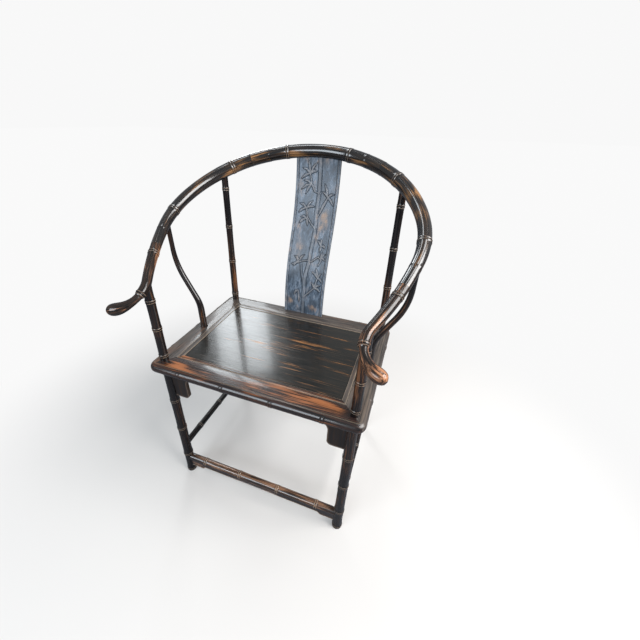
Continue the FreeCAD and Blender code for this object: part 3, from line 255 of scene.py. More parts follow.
def lacquered(name, dark, brown, amber, worn=(0.56, 0.64), fibre=(380, 380, 12),
              patch=(26, 26, 5), rub=(0.42, 0.27, 0.16), gloss=(0.14, 0.34), tool_marks=0.35,
              polish=0.35, softness=0.1, clouds=0.0, object_grain=None, sat_on=None):
    """Thin lacquer over open wood: dark, browner along the grain, worn through to amber where
    the streaks pass the worn range, and rubbed bare on raised edges. Fibres and patches are
    counted per metre, with the grain along Z of the piece's own timber, or of a CAD board turned
    by object_grain. Rub is the colour of a rubbed edge, gloss the range of roughness, polish and
    softness the clear coat, clouds darker patches, and sat_on a board's own worn place."""
    material = bpy.data.materials.new(name)
    material.use_nodes = True
    tree = material.node_tree
    shader = tree.nodes["Principled BSDF"]
    add = partial(wired, tree)

    if object_grain is None:
        timber = add("ShaderNodeAttribute", {}, "Vector", attribute_name="grain")
        raised = add("ShaderNodeAttribute", {}, "Fac", attribute_name="rubbed")
    else:
        place = add("ShaderNodeTexCoord", {}, "Object")
        timber = add("ShaderNodeMapping", {"Vector": place, "Rotation": object_grain})
        raised = None

    def grown(scale, detail, shift=0.0):
        spot = add("ShaderNodeMapping", {"Vector": timber, "Scale": scale,
                                         "Location": (shift, shift, shift)})
        return add("ShaderNodeTexNoise", {"Vector": spot, "Scale": 1.0, "Detail": detail,
                                          "Roughness": RAGGED})

    def span(value, low, high, start=0.0, end=1.0):
        return add("ShaderNodeMapRange", {0: value, 1: low, 2: high, 3: start, 4: end},
                   interpolation_type="SMOOTHSTEP")

    def blend(share, under, over):
        return add("ShaderNodeMixRGB", {0: share, 1: under, 2: (*over, 1)})

    def arithmetic(kind, first, second):
        return add("ShaderNodeMath", {0: first, 1: second}, operation=kind)

    fibres = grown(fibre, detail=4.0)
    patches = grown(patch, detail=2.0, shift=7.0)
    streaks = arithmetic("ADD", arithmetic("MULTIPLY", fibres, FIBRE_SHARE),
                         arithmetic("MULTIPLY", patches, PATCH_SHARE))
    if object_grain is None:
        streaks = arithmetic("ADD", streaks, add("ShaderNodeAttribute", {}, "Fac",
                                                 attribute_name="wear_and_highlight"))
    if sat_on is not None:
        *middle, reach, depth = sat_on
        away = add("ShaderNodeVectorMath", {0: place, 1: middle}, "Value",
                   operation="DISTANCE")
        streaks = arithmetic("ADD", streaks, span(away, 0, reach, depth, -depth))
    worn_through = span(streaks, *worn)
    halo = span(streaks, worn[0] - HALO_REACH, worn[1])
    colour = blend(span(fibres, *FIBRE_SPAN), (*dark, 1), brown)
    colour = blend(span(patches, *CLOUD_SPAN, clouds, 0), colour, shaded(dark, CLOUD_SHADE))
    colour = blend(arithmetic("MULTIPLY", halo, HALO_SHARE), colour, shaded(amber, HALO_SHADE))
    colour = blend(arithmetic("MULTIPLY", worn_through, WORN_SHARE), colour, amber)
    rough = arithmetic("ADD", span(fibres, *GLOSS_SPAN, *gloss),
                       arithmetic("MULTIPLY", worn_through, WORN_ROUGHER))
    if raised is not None:
        mottled = span(grown(MOTTLE, detail=2.0, shift=3.0), *MOTTLE_SPAN, MOTTLE_LEAST, 1)
        bare = arithmetic("MULTIPLY", span(raised, *BARE_SPAN), mottled)
        colour = blend(bare, colour, rub)
        rough = arithmetic("ADD", rough, arithmetic("MULTIPLY", bare, BARE_ROUGHER))
        # Painted shade: where rubbed falls below nothing, in hollows, the colour darkens towards a
        # shaded dark.
        sunk = span(arithmetic("MULTIPLY", raised, -1), *HOLLOW_SPAN, 0, HOLLOW_SHARE)
        colour = blend(sunk, colour, shaded(dark, HOLLOW_SHADE))
    tree.links.new(colour, shader.inputs["Base Color"])
    tree.links.new(rough, shader.inputs["Roughness"])
    marks = arithmetic("ADD", arithmetic("MULTIPLY", grown(fibre, detail=0.5), FIBRE_DEPTH),
                       arithmetic("MULTIPLY", grown(KNIFE_MARKS, detail=1.0, shift=5.0),
                                  KNIFE_DEPTH))
    bump = add("ShaderNodeBump", {"Height": marks, "Strength": tool_marks,
                                  "Distance": MARK_DEPTH})
    tree.links.new(bump, shader.inputs["Normal"])
    shader.inputs["Specular IOR Level"].default_value = 0.5
    shader.inputs["Coat Weight"].default_value = polish
    shader.inputs["Coat Roughness"].default_value = softness
    return material


post_lacquer = lacquered("post_lacquer", dark=(0.004, 0.004, 0.0045),
                         brown=(0.016, 0.008, 0.006), amber=(0.22, 0.085, 0.03),
                         worn=(0.56, 0.66), rub=(0.3, 0.215, 0.15), tool_marks=0.08,
                         polish=0.22)
front_right_worn = ((0.267, -0.235, 0.15, 0.05, 0.06), (0.266, -0.23, 0.3, 0.04, 0.05))
front_left_worn = ((-0.27, -0.2, 0.58, 0.05, 0.03), (-0.265, -0.215, 0.2, 0.05, 0.04))
rear_left_worn = ((-0.26, 0.19, 0.66, 0.06, 0.07), (-0.26, 0.18, 0.58, 0.05, 0.05))

FOOT_NODE, LEG_NODES = 0.0085, (0.089, 0.216, 0.337)
FRONT_POST_NODES = (0.505, 0.589, 0.668)
REAR_POST_NODES = (0.513, 0.636, 0.752, 0.863)
LEG_TAPER = ((0, 0.0146), (0.09, 0.0143), (0.22, 0.0138), (0.46, 0.0133))
FRONT_RADII = tapered(*LEG_TAPER, (0.47, 0.0117), (0.72, 0.0113))
REAR_RADII = tapered(*LEG_TAPER, (0.47, 0.0112), (0.64, 0.0105), (0.93, 0.0093))


def leg(foot, knee, head, radii, post_nodes):
    stations = bamboo(0, head.z, radii, (FOOT_NODE, *LEG_NODES, *post_nodes))
    return swept(ROUND, stations, carved_round(leg_spine(foot, knee, head)))


front_leg = leg(FRONT_FOOT, FRONT_KNEE, FRONT_HEAD, FRONT_RADII, FRONT_POST_NODES)
both_sides(front_leg, "front_leg_timber", "front_leg", post_lacquer, (0, 0.5),
           front_right_worn, front_left_worn)
rear_leg = leg(REAR_FOOT, REAR_KNEE, REAR_HEAD, REAR_RADII, REAR_POST_NODES)
both_sides(rear_leg, "rear_leg_timber", "rear_leg", post_lacquer, (1, 1.5),
           worn_left=rear_left_worn)

# Foot rail and stretchers. Round bamboo members, coped to the legs and tenoned into them, each
# pair one step higher than the one before. The foot rail's top is rubbed bare by shoes, and
# painted lighter along it with a painted highlight.

EDGE_NODE_OUTER, EDGE_NODE_INNER, SIDE_NODE = 0.196, 0.067, 0.118
CROSS_NODES = (-EDGE_NODE_OUTER, -EDGE_NODE_INNER, EDGE_NODE_INNER, EDGE_NODE_OUTER)
SIDE_NODES = (-SIDE_NODE, 0, SIDE_NODE)
FOOT_RAIL_HEIGHT, SIDE_STRETCHER_HEIGHT, REAR_STRETCHER_HEIGHT = 0.068, 0.133, 0.185
FOOT_RAIL_RADIUS, STRETCHER_RADIUS = 0.0119, 0.0099


def straight_spine(start, end):
    """A straight middle line, measured from halfway between its ends."""
    axes = (end - start).to_track_quat("Z", "Y").to_matrix().to_4x4()
    middle = (start + end) / 2
    heading = (end - start).normalized()
    return lambda place: Matrix.Translation(middle + heading * place) @ axes


def stretcher(start, end, radius, nodes):
    half = (end - start).length / 2
    stations = bamboo(-half, half, lambda place: radius, nodes)
    return swept(ROUND, stations, carved_round(straight_spine(start, end)))


def leg_point(foot, knee, height, side=1):
    point = foot.lerp(knee, height / knee.z)
    return Vector((point.x * side, point.y, point.z))


foot_lacquer = lacquered("foot_lacquer", dark=(0.009, 0.007, 0.007),
                         brown=(0.04, 0.02, 0.013), amber=(0.4, 0.21, 0.12),
                         worn=(0.54, 0.62), gloss=(0.12, 0.28), rub=(0.6, 0.42, 0.28),
                         fibre=(480, 480, 9), tool_marks=0.16, polish=0.6)
# Spots along the foot rail's top: shoe wear, and a painted highlight along the top.
TOP_SPOT_SPACING, TOP_SPOT_STEPS = 0.05, range(-4, 5)
top_wear_and_highlight = [(TOP_SPOT_SPACING * step, -0.224, 0.102, 0.03, 0.05) for step in TOP_SPOT_STEPS]
foot_ends = [leg_point(FRONT_FOOT, FRONT_KNEE, FOOT_RAIL_HEIGHT, side) for side in (-1, 1)]
foot_rail = stretcher(*foot_ends, FOOT_RAIL_RADIUS, CROSS_NODES)
finished(foot_rail, "foot_rail_round", "foot_rail", foot_lacquer, 3,
         worn_spots=top_wear_and_highlight)
rear_ends = [leg_point(REAR_FOOT, REAR_KNEE, REAR_STRETCHER_HEIGHT, side) for side in (-1, 1)]
rear_stretcher = stretcher(*rear_ends, STRETCHER_RADIUS, CROSS_NODES)
finished(rear_stretcher, "stretcher_round_rear", "stretcher_rear", post_lacquer, 4)
side_stretcher = stretcher(leg_point(FRONT_FOOT, FRONT_KNEE, SIDE_STRETCHER_HEIGHT),
                           leg_point(REAR_FOOT, REAR_KNEE, SIDE_STRETCHER_HEIGHT),
                           STRETCHER_RADIUS, SIDE_NODES)
both_sides(side_stretcher, "stretcher_round", "stretcher", post_lacquer, (5, 5.5))

# Seat frame. Four mitred boards with a half-round outer edge carved as bamboo, and a fine bead
# round the opening. Worn to reddish wood along the front, where the sitter slides off.

CORNER_RADIUS, EDGE_RADIUS = 0.024, 0.014
GROOVE_OUTER, GROOVE_INNER, GROOVE_DEPTH = 0.0562, 0.0592, 0.0011
EASED = 0.0006
EDGE_STEPS, CORNER_STEPS, FRAME_STEP = 8, 8, 0.02
NODE_BARE = 0.4


def frame_outline():
    """The frame's section as (inset, height, outward, upward, rubbed), from the inner corner of
    the underside round the edge to the opening."""
    points = [(FRAME_MEMBER, -FRAME_THICKNESS, 0, 0, 0)]
    for step in range(-EDGE_STEPS, EDGE_STEPS + 1):
        angle = math.pi / 2 * step / EDGE_STEPS
        rub = {EDGE_STEPS: 0.5, EDGE_STEPS - 1: 0.35}.get(step, 0)
        points.append((EDGE_RADIUS * (1 - math.cos(angle)),
                       EDGE_RADIUS * (math.sin(angle) - 1), math.cos(angle), math.sin(angle), rub))
    points += [(EDGE_RADIUS + EASED * 2, 0, 0, 0, 0.35), (EDGE_RADIUS + EASED * 6, 0, 0, 0, 0),
               (FRAME_MEMBER / 2, 0, 0, 0, 0),
               (GROOVE_OUTER - EASED * 2, 0, 0, 0, 0), (GROOVE_OUTER, -EASED / 2, 0, 0, 0.9),
               (GROOVE_OUTER + EASED, -GROOVE_DEPTH, 0, 0, 0),
               (GROOVE_INNER - EASED, -GROOVE_DEPTH, 0, 0, 0),
               (GROOVE_INNER, -EASED / 2, 0, 0, 0.9), (GROOVE_INNER + EASED, 0, 0, 0, 0.6),
               (GROOVE_INNER + EASED * 4, 0, 0, 0, 0),
               (FRAME_MEMBER - EASED * 4, 0, 0, 0, 0), (FRAME_MEMBER - EASED, 0, 0, 0, 0.7),
               (FRAME_MEMBER, -EASED, 0, 0, 0.9), (FRAME_MEMBER, -EASED * 4, 0, 0, 0)]
    return points


def frame_member(half, nodes, lay):
    """A mitred member of the frame, as long as twice half, with nodes on its edge."""
    straight = half - FRAME_MEMBER - EASED * 4
    stations = [(place, 0) for place, radius, ridge
                in bamboo(-straight, straight, lambda place: 0, nodes, FRAME_STEP)]
    turns = [(1, step / CORNER_STEPS) for step in range(1, CORNER_STEPS + 1)]
    stations = [(-1, turn) for side, turn in turns[::-1]] + stations + turns

    def carry(point, station):
        inset, height, outward, upward, rub = point
        along, turn = station
        if turn:
            side = along
            if inset < CORNER_RADIUS:
                angle = math.pi / 4 * max(0, turn * CORNER_STEPS - 1) / (CORNER_STEPS - 1)
                reach = CORNER_RADIUS - inset
                along = side * (half - CORNER_RADIUS + reach * math.sin(angle))
                inset = CORNER_RADIUS - reach * math.cos(angle)
            else:
                along = side * (straight + (half - inset - straight) * turn)
        else:
            for node in nodes:
                rise, ridge = node_rise(along - node)
                inset -= outward * rise
                height += upward * rise * (1 - abs(upward) ** 4)
                # The node's ridges are rubbed, and its painted shade lies beside them, on the round
                # edge.
                rub += ridge * (NODE_BARE if ridge > 0 else 1) * outward
        return lay(along, inset, height), Vector((inset, height, along)), rub

    return swept(frame_outline(), stations, carry)


frame_lacquer = lacquered("frame_lacquer", dark=(0.034, 0.031, 0.029),
                          brown=(0.16, 0.122, 0.098), amber=(0.26, 0.11, 0.05),
                          worn=(0.57, 0.67), gloss=(0.26, 0.42), rub=(0.36, 0.28, 0.2),
                          patch=(22, 22, 5.5), fibre=(300, 300, 9), tool_marks=0.25)
front_lacquer = lacquered("front_worn_lacquer", dark=(0.009, 0.0085, 0.009),
                          brown=(0.05, 0.022, 0.015), amber=(0.42, 0.14, 0.04),
                          worn=(0.55, 0.66), gloss=(0.2, 0.36), rub=(0.4, 0.3, 0.2),
                          patch=(24, 24, 5), fibre=(300, 300, 9), tool_marks=0.25)
front_worn = ((-0.207, -0.215, 0.49, 0.03, 0.07), (0.03, -0.21, 0.49, 0.04, 0.06),
              (0.101, -0.2, 0.49, 0.03, 0.03), (0.17, -0.2, 0.49, 0.045, 0.05),
              (0.215, -0.2, 0.49, 0.035, 0.05), (0.275, -0.215, 0.49, 0.04, -0.12),
              (-0.12, -0.24, 0.488, 0.015, 0.04), (0, -0.24, 0.488, 0.015, 0.05),
              (0.1, -0.24, 0.488, 0.015, 0.04))
left_worn = ((-0.245, -0.148, 0.49, 0.03, 0.06), (-0.25, -0.06, 0.49, 0.03, 0.03))
frame_worn = {"seat_rail_front": front_worn, "seat_rail_left": left_worn}
half_depth = (SEAT_REAR - SEAT_FRONT) / 2
frame_sides = (
    ("seat_rail_front", SEAT_X, CROSS_NODES, front_lacquer, 6.2,
     lambda along, inset, height: Vector((along, SEAT_FRONT + inset, SEAT_TOP + height))),
    ("seat_rail_rear", SEAT_X, CROSS_NODES, frame_lacquer, 7.1,
     lambda along, inset, height: Vector((along, SEAT_REAR - inset, SEAT_TOP + height))),
    ("seat_rail_right", half_depth, SIDE_NODES, frame_lacquer, 8.4,
     lambda along, inset, height: Vector((SEAT_X - inset, SEAT_MIDDLE + along, SEAT_TOP + height))),
    ("seat_rail_left", half_depth, SIDE_NODES, frame_lacquer, 9.3,
     lambda along, inset, height: Vector((inset - SEAT_X, SEAT_MIDDLE + along, SEAT_TOP + height))),
)
for name, half, nodes, finish, shift, lay in frame_sides:
    finished(frame_member(half, nodes, lay), name + "_mitred", name, finish, shift,
             sharp=30, worn_spots=frame_worn.get(name, ()))

# Seat panel. Three boards tongued into each other and into the frame, with the grain from side
# to side, and two battens dovetailed across them underneath. The lacquer is glossy and thin.

ACROSS, FRONT_TO_BACK = (0, math.radians(90), 0), (math.radians(90), 0, 0)
panel_lacquer = lacquered("panel_lacquer", dark=(0.012, 0.0125, 0.011),
                          brown=(0.028, 0.021, 0.015), amber=(0.34, 0.15, 0.05),
                          worn=(0.6, 0.67), fibre=(420, 420, 9), patch=(70, 70, 7),
                          gloss=(0.15, 0.28), tool_marks=0.13, object_grain=ACROSS,
                          sat_on=(0.03, -0.05, 0.488, 0.26, 0.035))
batten_lacquer = lacquered("batten_lacquer", dark=(0.014, 0.009, 0.007),
                           brown=(0.05, 0.025, 0.015), amber=(0.12, 0.055, 0.03), gloss=(0.4, 0.6),
                           object_grain=FRONT_TO_BACK)
flat_boards = {"seat_board_front": panel_lacquer, "seat_board_middle": panel_lacquer,
               "seat_board_rear": panel_lacquer, "seat_batten_right": batten_lacquer,
               "seat_batten_left": batten_lacquer}
for node, finish in flat_boards.items():
    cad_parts[node].data.materials.clear()
    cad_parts[node].data.materials.append(finish)

# Aprons under the seat. Thin boards tongued into the frame, with a spandrel at each leg that has
# a coved inner corner, a rounded lower corner and a narrow raised border.

SPANDREL_DROP, SPANDREL_WIDTH, APRON_STRIP, APRON_THICKNESS = 0.101, 0.059, 0.024, 0.01
COVE, SPANDREL_CORNER, APRON_TONGUE, BORDER = 0.024, 0.014, 0.004, 0.0035
STEP_WIDTH, STEP_DEPTH, STEP_SLACK, BORDER_RUBBED = 0.0008, 0.0009, 0.0002, 0.7
ARC_STEPS = 10


def corner_arc(x, z, radius, start, end):
    """A rounded corner of an outline, from one angle to the other about a centre."""
    angles = [math.radians(start + (end - start) * step / ARC_STEPS)
              for step in range(ARC_STEPS + 1)]
    return [(x + radius * math.cos(angle), z + radius * math.sin(angle)) for angle in angles]


def cut_board(points, thickness, border, lay, lengthwise):
    """A flat board cut to an outline in its own (along, up) plane, with both faces sunk a little
    inside a narrow border. The grain runs along the board, or upright."""
    board = bmesh.new()
    corners = [board.verts.new((along, -thickness / 2, up)) for along, up in points]
    rim = [board.edges.new(ends) for ends in zip(corners, corners[1:] + corners[:1])]
    front = bmesh.ops.contextual_create(board, geom=rim)["faces"][0]
    grown = bmesh.ops.extrude_face_region(board, geom=[front])["geom"]
    back = [item for item in grown if isinstance(item, bmesh.types.BMVert)]
    bmesh.ops.translate(board, vec=(0, thickness, 0), verts=back)
    bmesh.ops.recalc_face_normals(board, faces=board.faces)
    flats = [face for face in board.faces if len(face.verts) == len(points)]
    for flat in flats:
        bmesh.ops.inset_region(board, faces=[flat], thickness=border, depth=0,
                               use_even_offset=True)
        bmesh.ops.inset_region(board, faces=[flat], thickness=STEP_WIDTH, depth=-STEP_DEPTH,
                               use_even_offset=True)
    grain = board.verts.layers.float_vector.new("grain")
    rubbed = board.verts.layers.float.new("rubbed")
    for vert in board.verts:
        along, across, up = vert.co
        vert[grain] = Vector((up, across, along)) if lengthwise else Vector((along, across, up))
        on_border = abs(across) > thickness / 2 - STEP_SLACK and len(vert.link_faces) > 2
        vert[rubbed] = BORDER_RUBBED if on_border else 0
        vert.co = lay(along, across, up)
    return board


def apron_outline(half):
    """Strip and spandrels, clockwise from the upper left."""
    inner = half - SPANDREL_WIDTH
    right = [(half, APRON_TONGUE), (half, -SPANDREL_DROP)]
    right += corner_arc(inner + SPANDREL_CORNER, SPANDREL_CORNER - SPANDREL_DROP,
                        SPANDREL_CORNER, 270, 180)
    right += corner_arc(inner - COVE, -APRON_STRIP - COVE, COVE, 0, 90)
    return right + [(-along, up) for along, up in right[::-1]]


apron_lacquer = lacquered("apron_lacquer", dark=(0.008, 0.0055, 0.005),
                          brown=(0.034, 0.017, 0.01), amber=(0.14, 0.06, 0.03),
                          worn=(0.57, 0.68), gloss=(0.5, 0.7), rub=(0.18, 0.12, 0.085),
                          tool_marks=0.2, polish=0.05)
side_half = (REAR_LEG_Y - FRONT_LEG_Y) / 2
side_middle = (REAR_LEG_Y + FRONT_LEG_Y) / 2
aprons = (
    ("apron_front", LEG_X, lambda along, across, up:
     Vector((along, FRONT_LEG_Y + across, FRAME_UNDER + up))),
    ("apron_rear", LEG_X, lambda along, across, up:
     Vector((along, REAR_LEG_Y + across, FRAME_UNDER + up))),
    ("apron_right", side_half, lambda along, across, up:
     Vector((LEG_X + across, side_middle + along, FRAME_UNDER + up))),
    ("apron_left", side_half, lambda along, across, up:
     Vector((across - LEG_X, side_middle + along, FRAME_UNDER + up))),
)
for shift, (name, half, lay) in enumerate(aprons, 11):
    board = cut_board(apron_outline(half), APRON_THICKNESS, BORDER, lay, lengthwise=False)
    finished(board, name + "_board", name, apron_lacquer, shift, sharp=40)

# Strip under the foot rail. A narrow board let into the rail's underside, its ends dropped a
# little against the legs. The front edge is scuffed to bare wood.

STRIP_LOW, STRIP_END_LOW, STRIP_END, STRIP_SLOPE = 0.039, 0.029, 0.056, 0.009
STRIP_THICKNESS, STRIP_BORDER = 0.014, 0.002
foot_half, foot_y = foot_ends[1].x, foot_ends[1].y
strip_inner = foot_half - STRIP_END
strip_right = [(foot_half, FOOT_RAIL_HEIGHT), (foot_half, STRIP_END_LOW),
               (strip_inner, STRIP_END_LOW), (strip_inner - STRIP_SLOPE, STRIP_LOW)]
strip = cut_board(strip_right + [(-along, up) for along, up in strip_right[::-1]],
                  STRIP_THICKNESS, STRIP_BORDER,
                  lambda along, across, up: Vector((along, foot_y + across, up)),
                  lengthwise=True)
finished(strip, "foot_rail_strip", "foot_rail_apron", foot_lacquer, 16, sharp=40)

# Back splat. One board sawn to an S from the seat rail up to the crest, tenoned at both ends and
# carved inside a narrow border with bamboo: a jointed stalk, twigs and pointed leaves.

SPLAT_WIDTH, SPLAT_THICKNESS, SPLAT_RISE, SPLAT_BORDER = 0.133, 0.011, 0.015, 0.0065
SPLAT_INSET = 0.022
SPLAT_Y = SEAT_REAR - SPLAT_INSET


def double_bend(across, up, bend_share, low_share):
    """The lean, lower radius, upper radius and straight of an S that steps across as it rises."""
    lean = bend_share * math.atan2(across, up)
    both = (up * math.sin(lean) - across * math.cos(lean)) / (1 - math.cos(lean))
    return lean, both * low_share, both * (1 - low_share), across / math.tan(lean / 2) - up


def s_spine(across, up, bend_share, low_share, low_rise):
    """Place, height and lean along an S: a rise, an arc, a straight, an arc and a rise."""
    lean, low, high, straight = double_bend(across, up, bend_share, low_share)

    def spine(travel):
        if travel < low_rise:
            return 0, travel, 0
        travel -= low_rise
        if travel < low * lean:
            turn = travel / low
            return low * (1 - math.cos(turn)), low_rise + low * math.sin(turn), turn
        travel -= low * lean
        if travel < straight:
            return (low * (1 - math.cos(lean)) + travel * math.sin(lean),
                    low_rise + low * math.sin(lean) + travel * math.cos(lean), lean)
        travel -= straight
        if travel < high * lean:
            turn = lean - travel / high
            return across - high * (1 - math.cos(turn)), low_rise + up - high * math.sin(turn), turn
        return across, low_rise + up + travel - high * lean, 0

    return spine, low_rise + (low + high) * lean + straight


splat_curve, splat_travel = s_spine(RAIL_BACK - SPLAT_Y, RAIL_HEIGHT - SEAT_TOP - SPLAT_RISE,
                                    bend_share=1.75, low_share=0.5, low_rise=0)
splat_travel += SPLAT_RISE

# The carving in shares of the field: width from left to right, height from the seat up
STALK_SHARES = ((0.49, 0.0), (0.49, 0.18), (0.48, 0.25), (0.545, 0.35), (0.555, 0.42),
                (0.58, 0.52), (0.585, 0.56), (0.555, 0.66), (0.575, 0.775), (0.56, 0.9),
                (0.55, 1.0))
SIDE_STALK_SHARES = ((0.47, 0.19), (0.44, 0.235), (0.39, 0.27), (0.335, 0.34))
JOINT_SHARES = (0.125, 0.365, 0.56, 0.775)
TWIG_SHARES = (
    ((0.55, 0.775), (0.45, 0.785), (0.36, 0.825), (0.31, 0.88)),
    ((0.59, 0.635), (0.64, 0.66), (0.74, 0.71), (0.81, 0.755)),
    ((0.57, 0.565), (0.43, 0.6), (0.32, 0.635), (0.28, 0.685)),
    ((0.55, 0.37), (0.38, 0.36), (0.26, 0.348), (0.09, 0.333)),
    ((0.55, 0.355), (0.66, 0.372), (0.78, 0.398), (0.87, 0.38), (0.81, 0.345)),
    ((0.5, 0.125), (0.62, 0.155), (0.77, 0.195), (0.84, 0.265)),
)
# Leaves in clusters: the knot, and the tip of each leaf
CLUSTER_SHARES = (
    ((0.31, 0.88), (0.11, 0.91), (0.47, 0.94), (0.49, 0.895), (0.08, 0.85), (0.25, 0.95)),
    ((0.36, 0.825), (0.1, 0.79), (0.15, 0.84), (0.22, 0.765)),
    ((0.81, 0.755), (0.7, 0.83), (0.64, 0.785), (0.97, 0.775), (0.97, 0.71), (0.62, 0.65)),
    ((0.28, 0.685), (0.08, 0.71), (0.43, 0.73), (0.49, 0.695), (0.07, 0.655)),
    ((0.31, 0.625), (0.12, 0.59), (0.15, 0.63), (0.36, 0.58)),
    ((0.81, 0.466), (0.67, 0.5), (0.79, 0.51), (0.93, 0.454), (0.8, 0.425)),
    ((0.85, 0.39), (0.97, 0.42), (0.97, 0.38), (0.88, 0.43)),
    ((0.26, 0.355), (0.12, 0.385), (0.4, 0.4), (0.13, 0.32)),
    ((0.84, 0.265), (0.66, 0.3), (0.77, 0.325), (0.93, 0.295), (0.97, 0.24)),
    ((0.77, 0.195), (0.94, 0.218), (0.96, 0.175), (0.69, 0.23)),
    ((0.33, 0.165), (0.37, 0.085), (0.2, 0.13)),
)
STALK_HALF, SIDE_STALK_HALF, TWIG_HALF = 0.0056, 0.0036, 0.0024
LEAF_HALF, LEAF_POINT = 0.0037, 0.0005
# A leaf is the part of a half wave that starts at its base share, and it arches up a little
LEAF_BASE, LEAF_LENGTH, LEAF_ARCH = 0.14, 0.84, 0.008
BESIDE_AWAY, BESIDE_REACH, COVERED = 0.001, 0.0014, 2


def relief_map(across, up, width, height):
    """How far the carving stands out of the sunk field at each point, from 0 to 1, and how much
    painted shade lies beside it. A stroke with less fullness has a flatter top."""
    raised = numpy.zeros_like(across)
    beside = numpy.zeros_like(across)

    def stroke(points, half_width, fullness, pointed=False, crest=1.0):
        marks = [(share[0] * width, share[1] * height) for share in points]
        total = sum(math.dist(*ends) for ends in zip(marks, marks[1:]))
        done = 0
        for (x, z), (next_x, next_z) in zip(marks, marks[1:]):
            length = math.dist((x, z), (next_x, next_z))
            step_x, step_z = next_x - x, next_z - z
            along = ((across - x) * step_x + (up - z) * step_z) / length ** 2
            along = numpy.clip(along, 0, 1)
            away = numpy.hypot(across - x - along * step_x, up - z - along * step_z)
            travelled = (done + along * length) / total
            half = half_width
            if pointed:
                half = half_width * numpy.sin(numpy.pi * (travelled * LEAF_LENGTH + LEAF_BASE))
            body = numpy.clip(1 - (away / numpy.maximum(half, LEAF_POINT)) ** 2, 0, 1) ** fullness
            numpy.maximum(raised, body * crest, out=raised)
            numpy.maximum(beside, fading(away - half - BESIDE_AWAY, BESIDE_REACH), out=beside)
            done += length

    stroke(STALK_SHARES, STALK_HALF, fullness=0.22, crest=0.7)
    stroke(SIDE_STALK_SHARES, SIDE_STALK_HALF, fullness=0.3, crest=0.6)
    for twig in TWIG_SHARES:
        stroke(twig, TWIG_HALF, fullness=0.5)
    for (knot_x, knot_z), *tips in CLUSTER_SHARES:
        for tip_x, tip_z in tips:
            bend = ((knot_x + tip_x) / 2, (knot_z + tip_z) / 2 + LEAF_ARCH)
            stroke(((knot_x, knot_z), bend, (tip_x, tip_z)), LEAF_HALF, fullness=0.5, pointed=True)
    return raised, numpy.clip(beside - raised * COVERED, 0, 1)


RELIEF, BEAD_RISE, JOINT_RISE = 0.002, 0.25, 0.3
BEAD_AWAY, EDGE_REACH, FIELD_SLOPE = 0.001, 0.0012, 0.0016
FIELD_HOLLOW_AWAY, FIELD_HOLLOW_REACH = 0.0018, 0.0011
JOINT_REACH, JOINT_HALF = 0.0035, 0.006
CARVING_RUB_AND_HIGHLIGHT, FIELD_PAINTED_SHADE = 0.8, 0.9
FIELD_STEPS, SPLAT_STEPS, BACK_STEP = 132, 440, 12
splat_half, field_half = SPLAT_WIDTH / 2, SPLAT_WIDTH / 2 - SPLAT_BORDER
field_across, field_up = numpy.meshgrid(numpy.linspace(0, SPLAT_WIDTH, FIELD_STEPS + 1),
                                        numpy.linspace(0, splat_travel, SPLAT_STEPS + 1))
carving, sunk = relief_map(field_across - SPLAT_BORDER, field_up, 2 * field_half, splat_travel)
edge_away = numpy.minimum(field_across, SPLAT_WIDTH - field_across)
bead = fading(edge_away - SPLAT_BORDER + BEAD_AWAY, EDGE_REACH)
arris = fading(edge_away, EDGE_REACH)
inside = numpy.clip((edge_away - SPLAT_BORDER) / FIELD_SLOPE, 0, 1)
border_painted_shade = fading(edge_away - SPLAT_BORDER - FIELD_HOLLOW_AWAY, FIELD_HOLLOW_REACH)
joints = sum(fading(field_up / splat_travel - share, JOINT_REACH) for share in JOINT_SHARES)
stalk_across, stalk_up = zip(*STALK_SHARES)
stalk_line = numpy.interp(field_up / splat_travel, stalk_up, stalk_across)
on_stalk = numpy.abs(field_across - SPLAT_BORDER - stalk_line * 2 * field_half) < JOINT_HALF
height_map = RELIEF * (inside * (carving - 1) + BEAD_RISE * bead)
height_map += RELIEF * inside * numpy.where(on_stalk, JOINT_RISE * joints, 0)
# The raised carving is painted lighter, rubbed wear with a painted highlight, and the bead and
# outer arris carry a painted sheen line; painted shade lies beside the carving and inside the
# border.
rub_and_painted_light_map = numpy.maximum(CARVING_RUB_AND_HIGHLIGHT * carving * inside, numpy.maximum(bead, arris))
rub_and_painted_light_map -= FIELD_PAINTED_SHADE * numpy.maximum(sunk * inside, border_painted_shade)
splat_outline = [("front", step) for step in range(FIELD_STEPS + 1)]
splat_outline += [("back", step) for step in range(FIELD_STEPS, -1, -BACK_STEP)]


def splat_point(point, station):
    face, step = point
    off, height, lean = splat_curve(station * splat_travel / SPLAT_STEPS)
    across = SPLAT_WIDTH * step / FIELD_STEPS - splat_half
    # The back face gets rubbed -1: it is darkened all over with the hollows' painted shade.
    depth, rub = SPLAT_THICKNESS / 2, -1
    if face == "front":
        depth = -SPLAT_THICKNESS / 2 - height_map[station, step]
        rub = float(rub_and_painted_light_map[station, step])
    spot = Vector((across, SPLAT_Y + off + depth * math.cos(lean),
                   SEAT_TOP + height - depth * math.sin(lean)))
    return spot, Vector((across, depth, station * splat_travel / SPLAT_STEPS)), rub


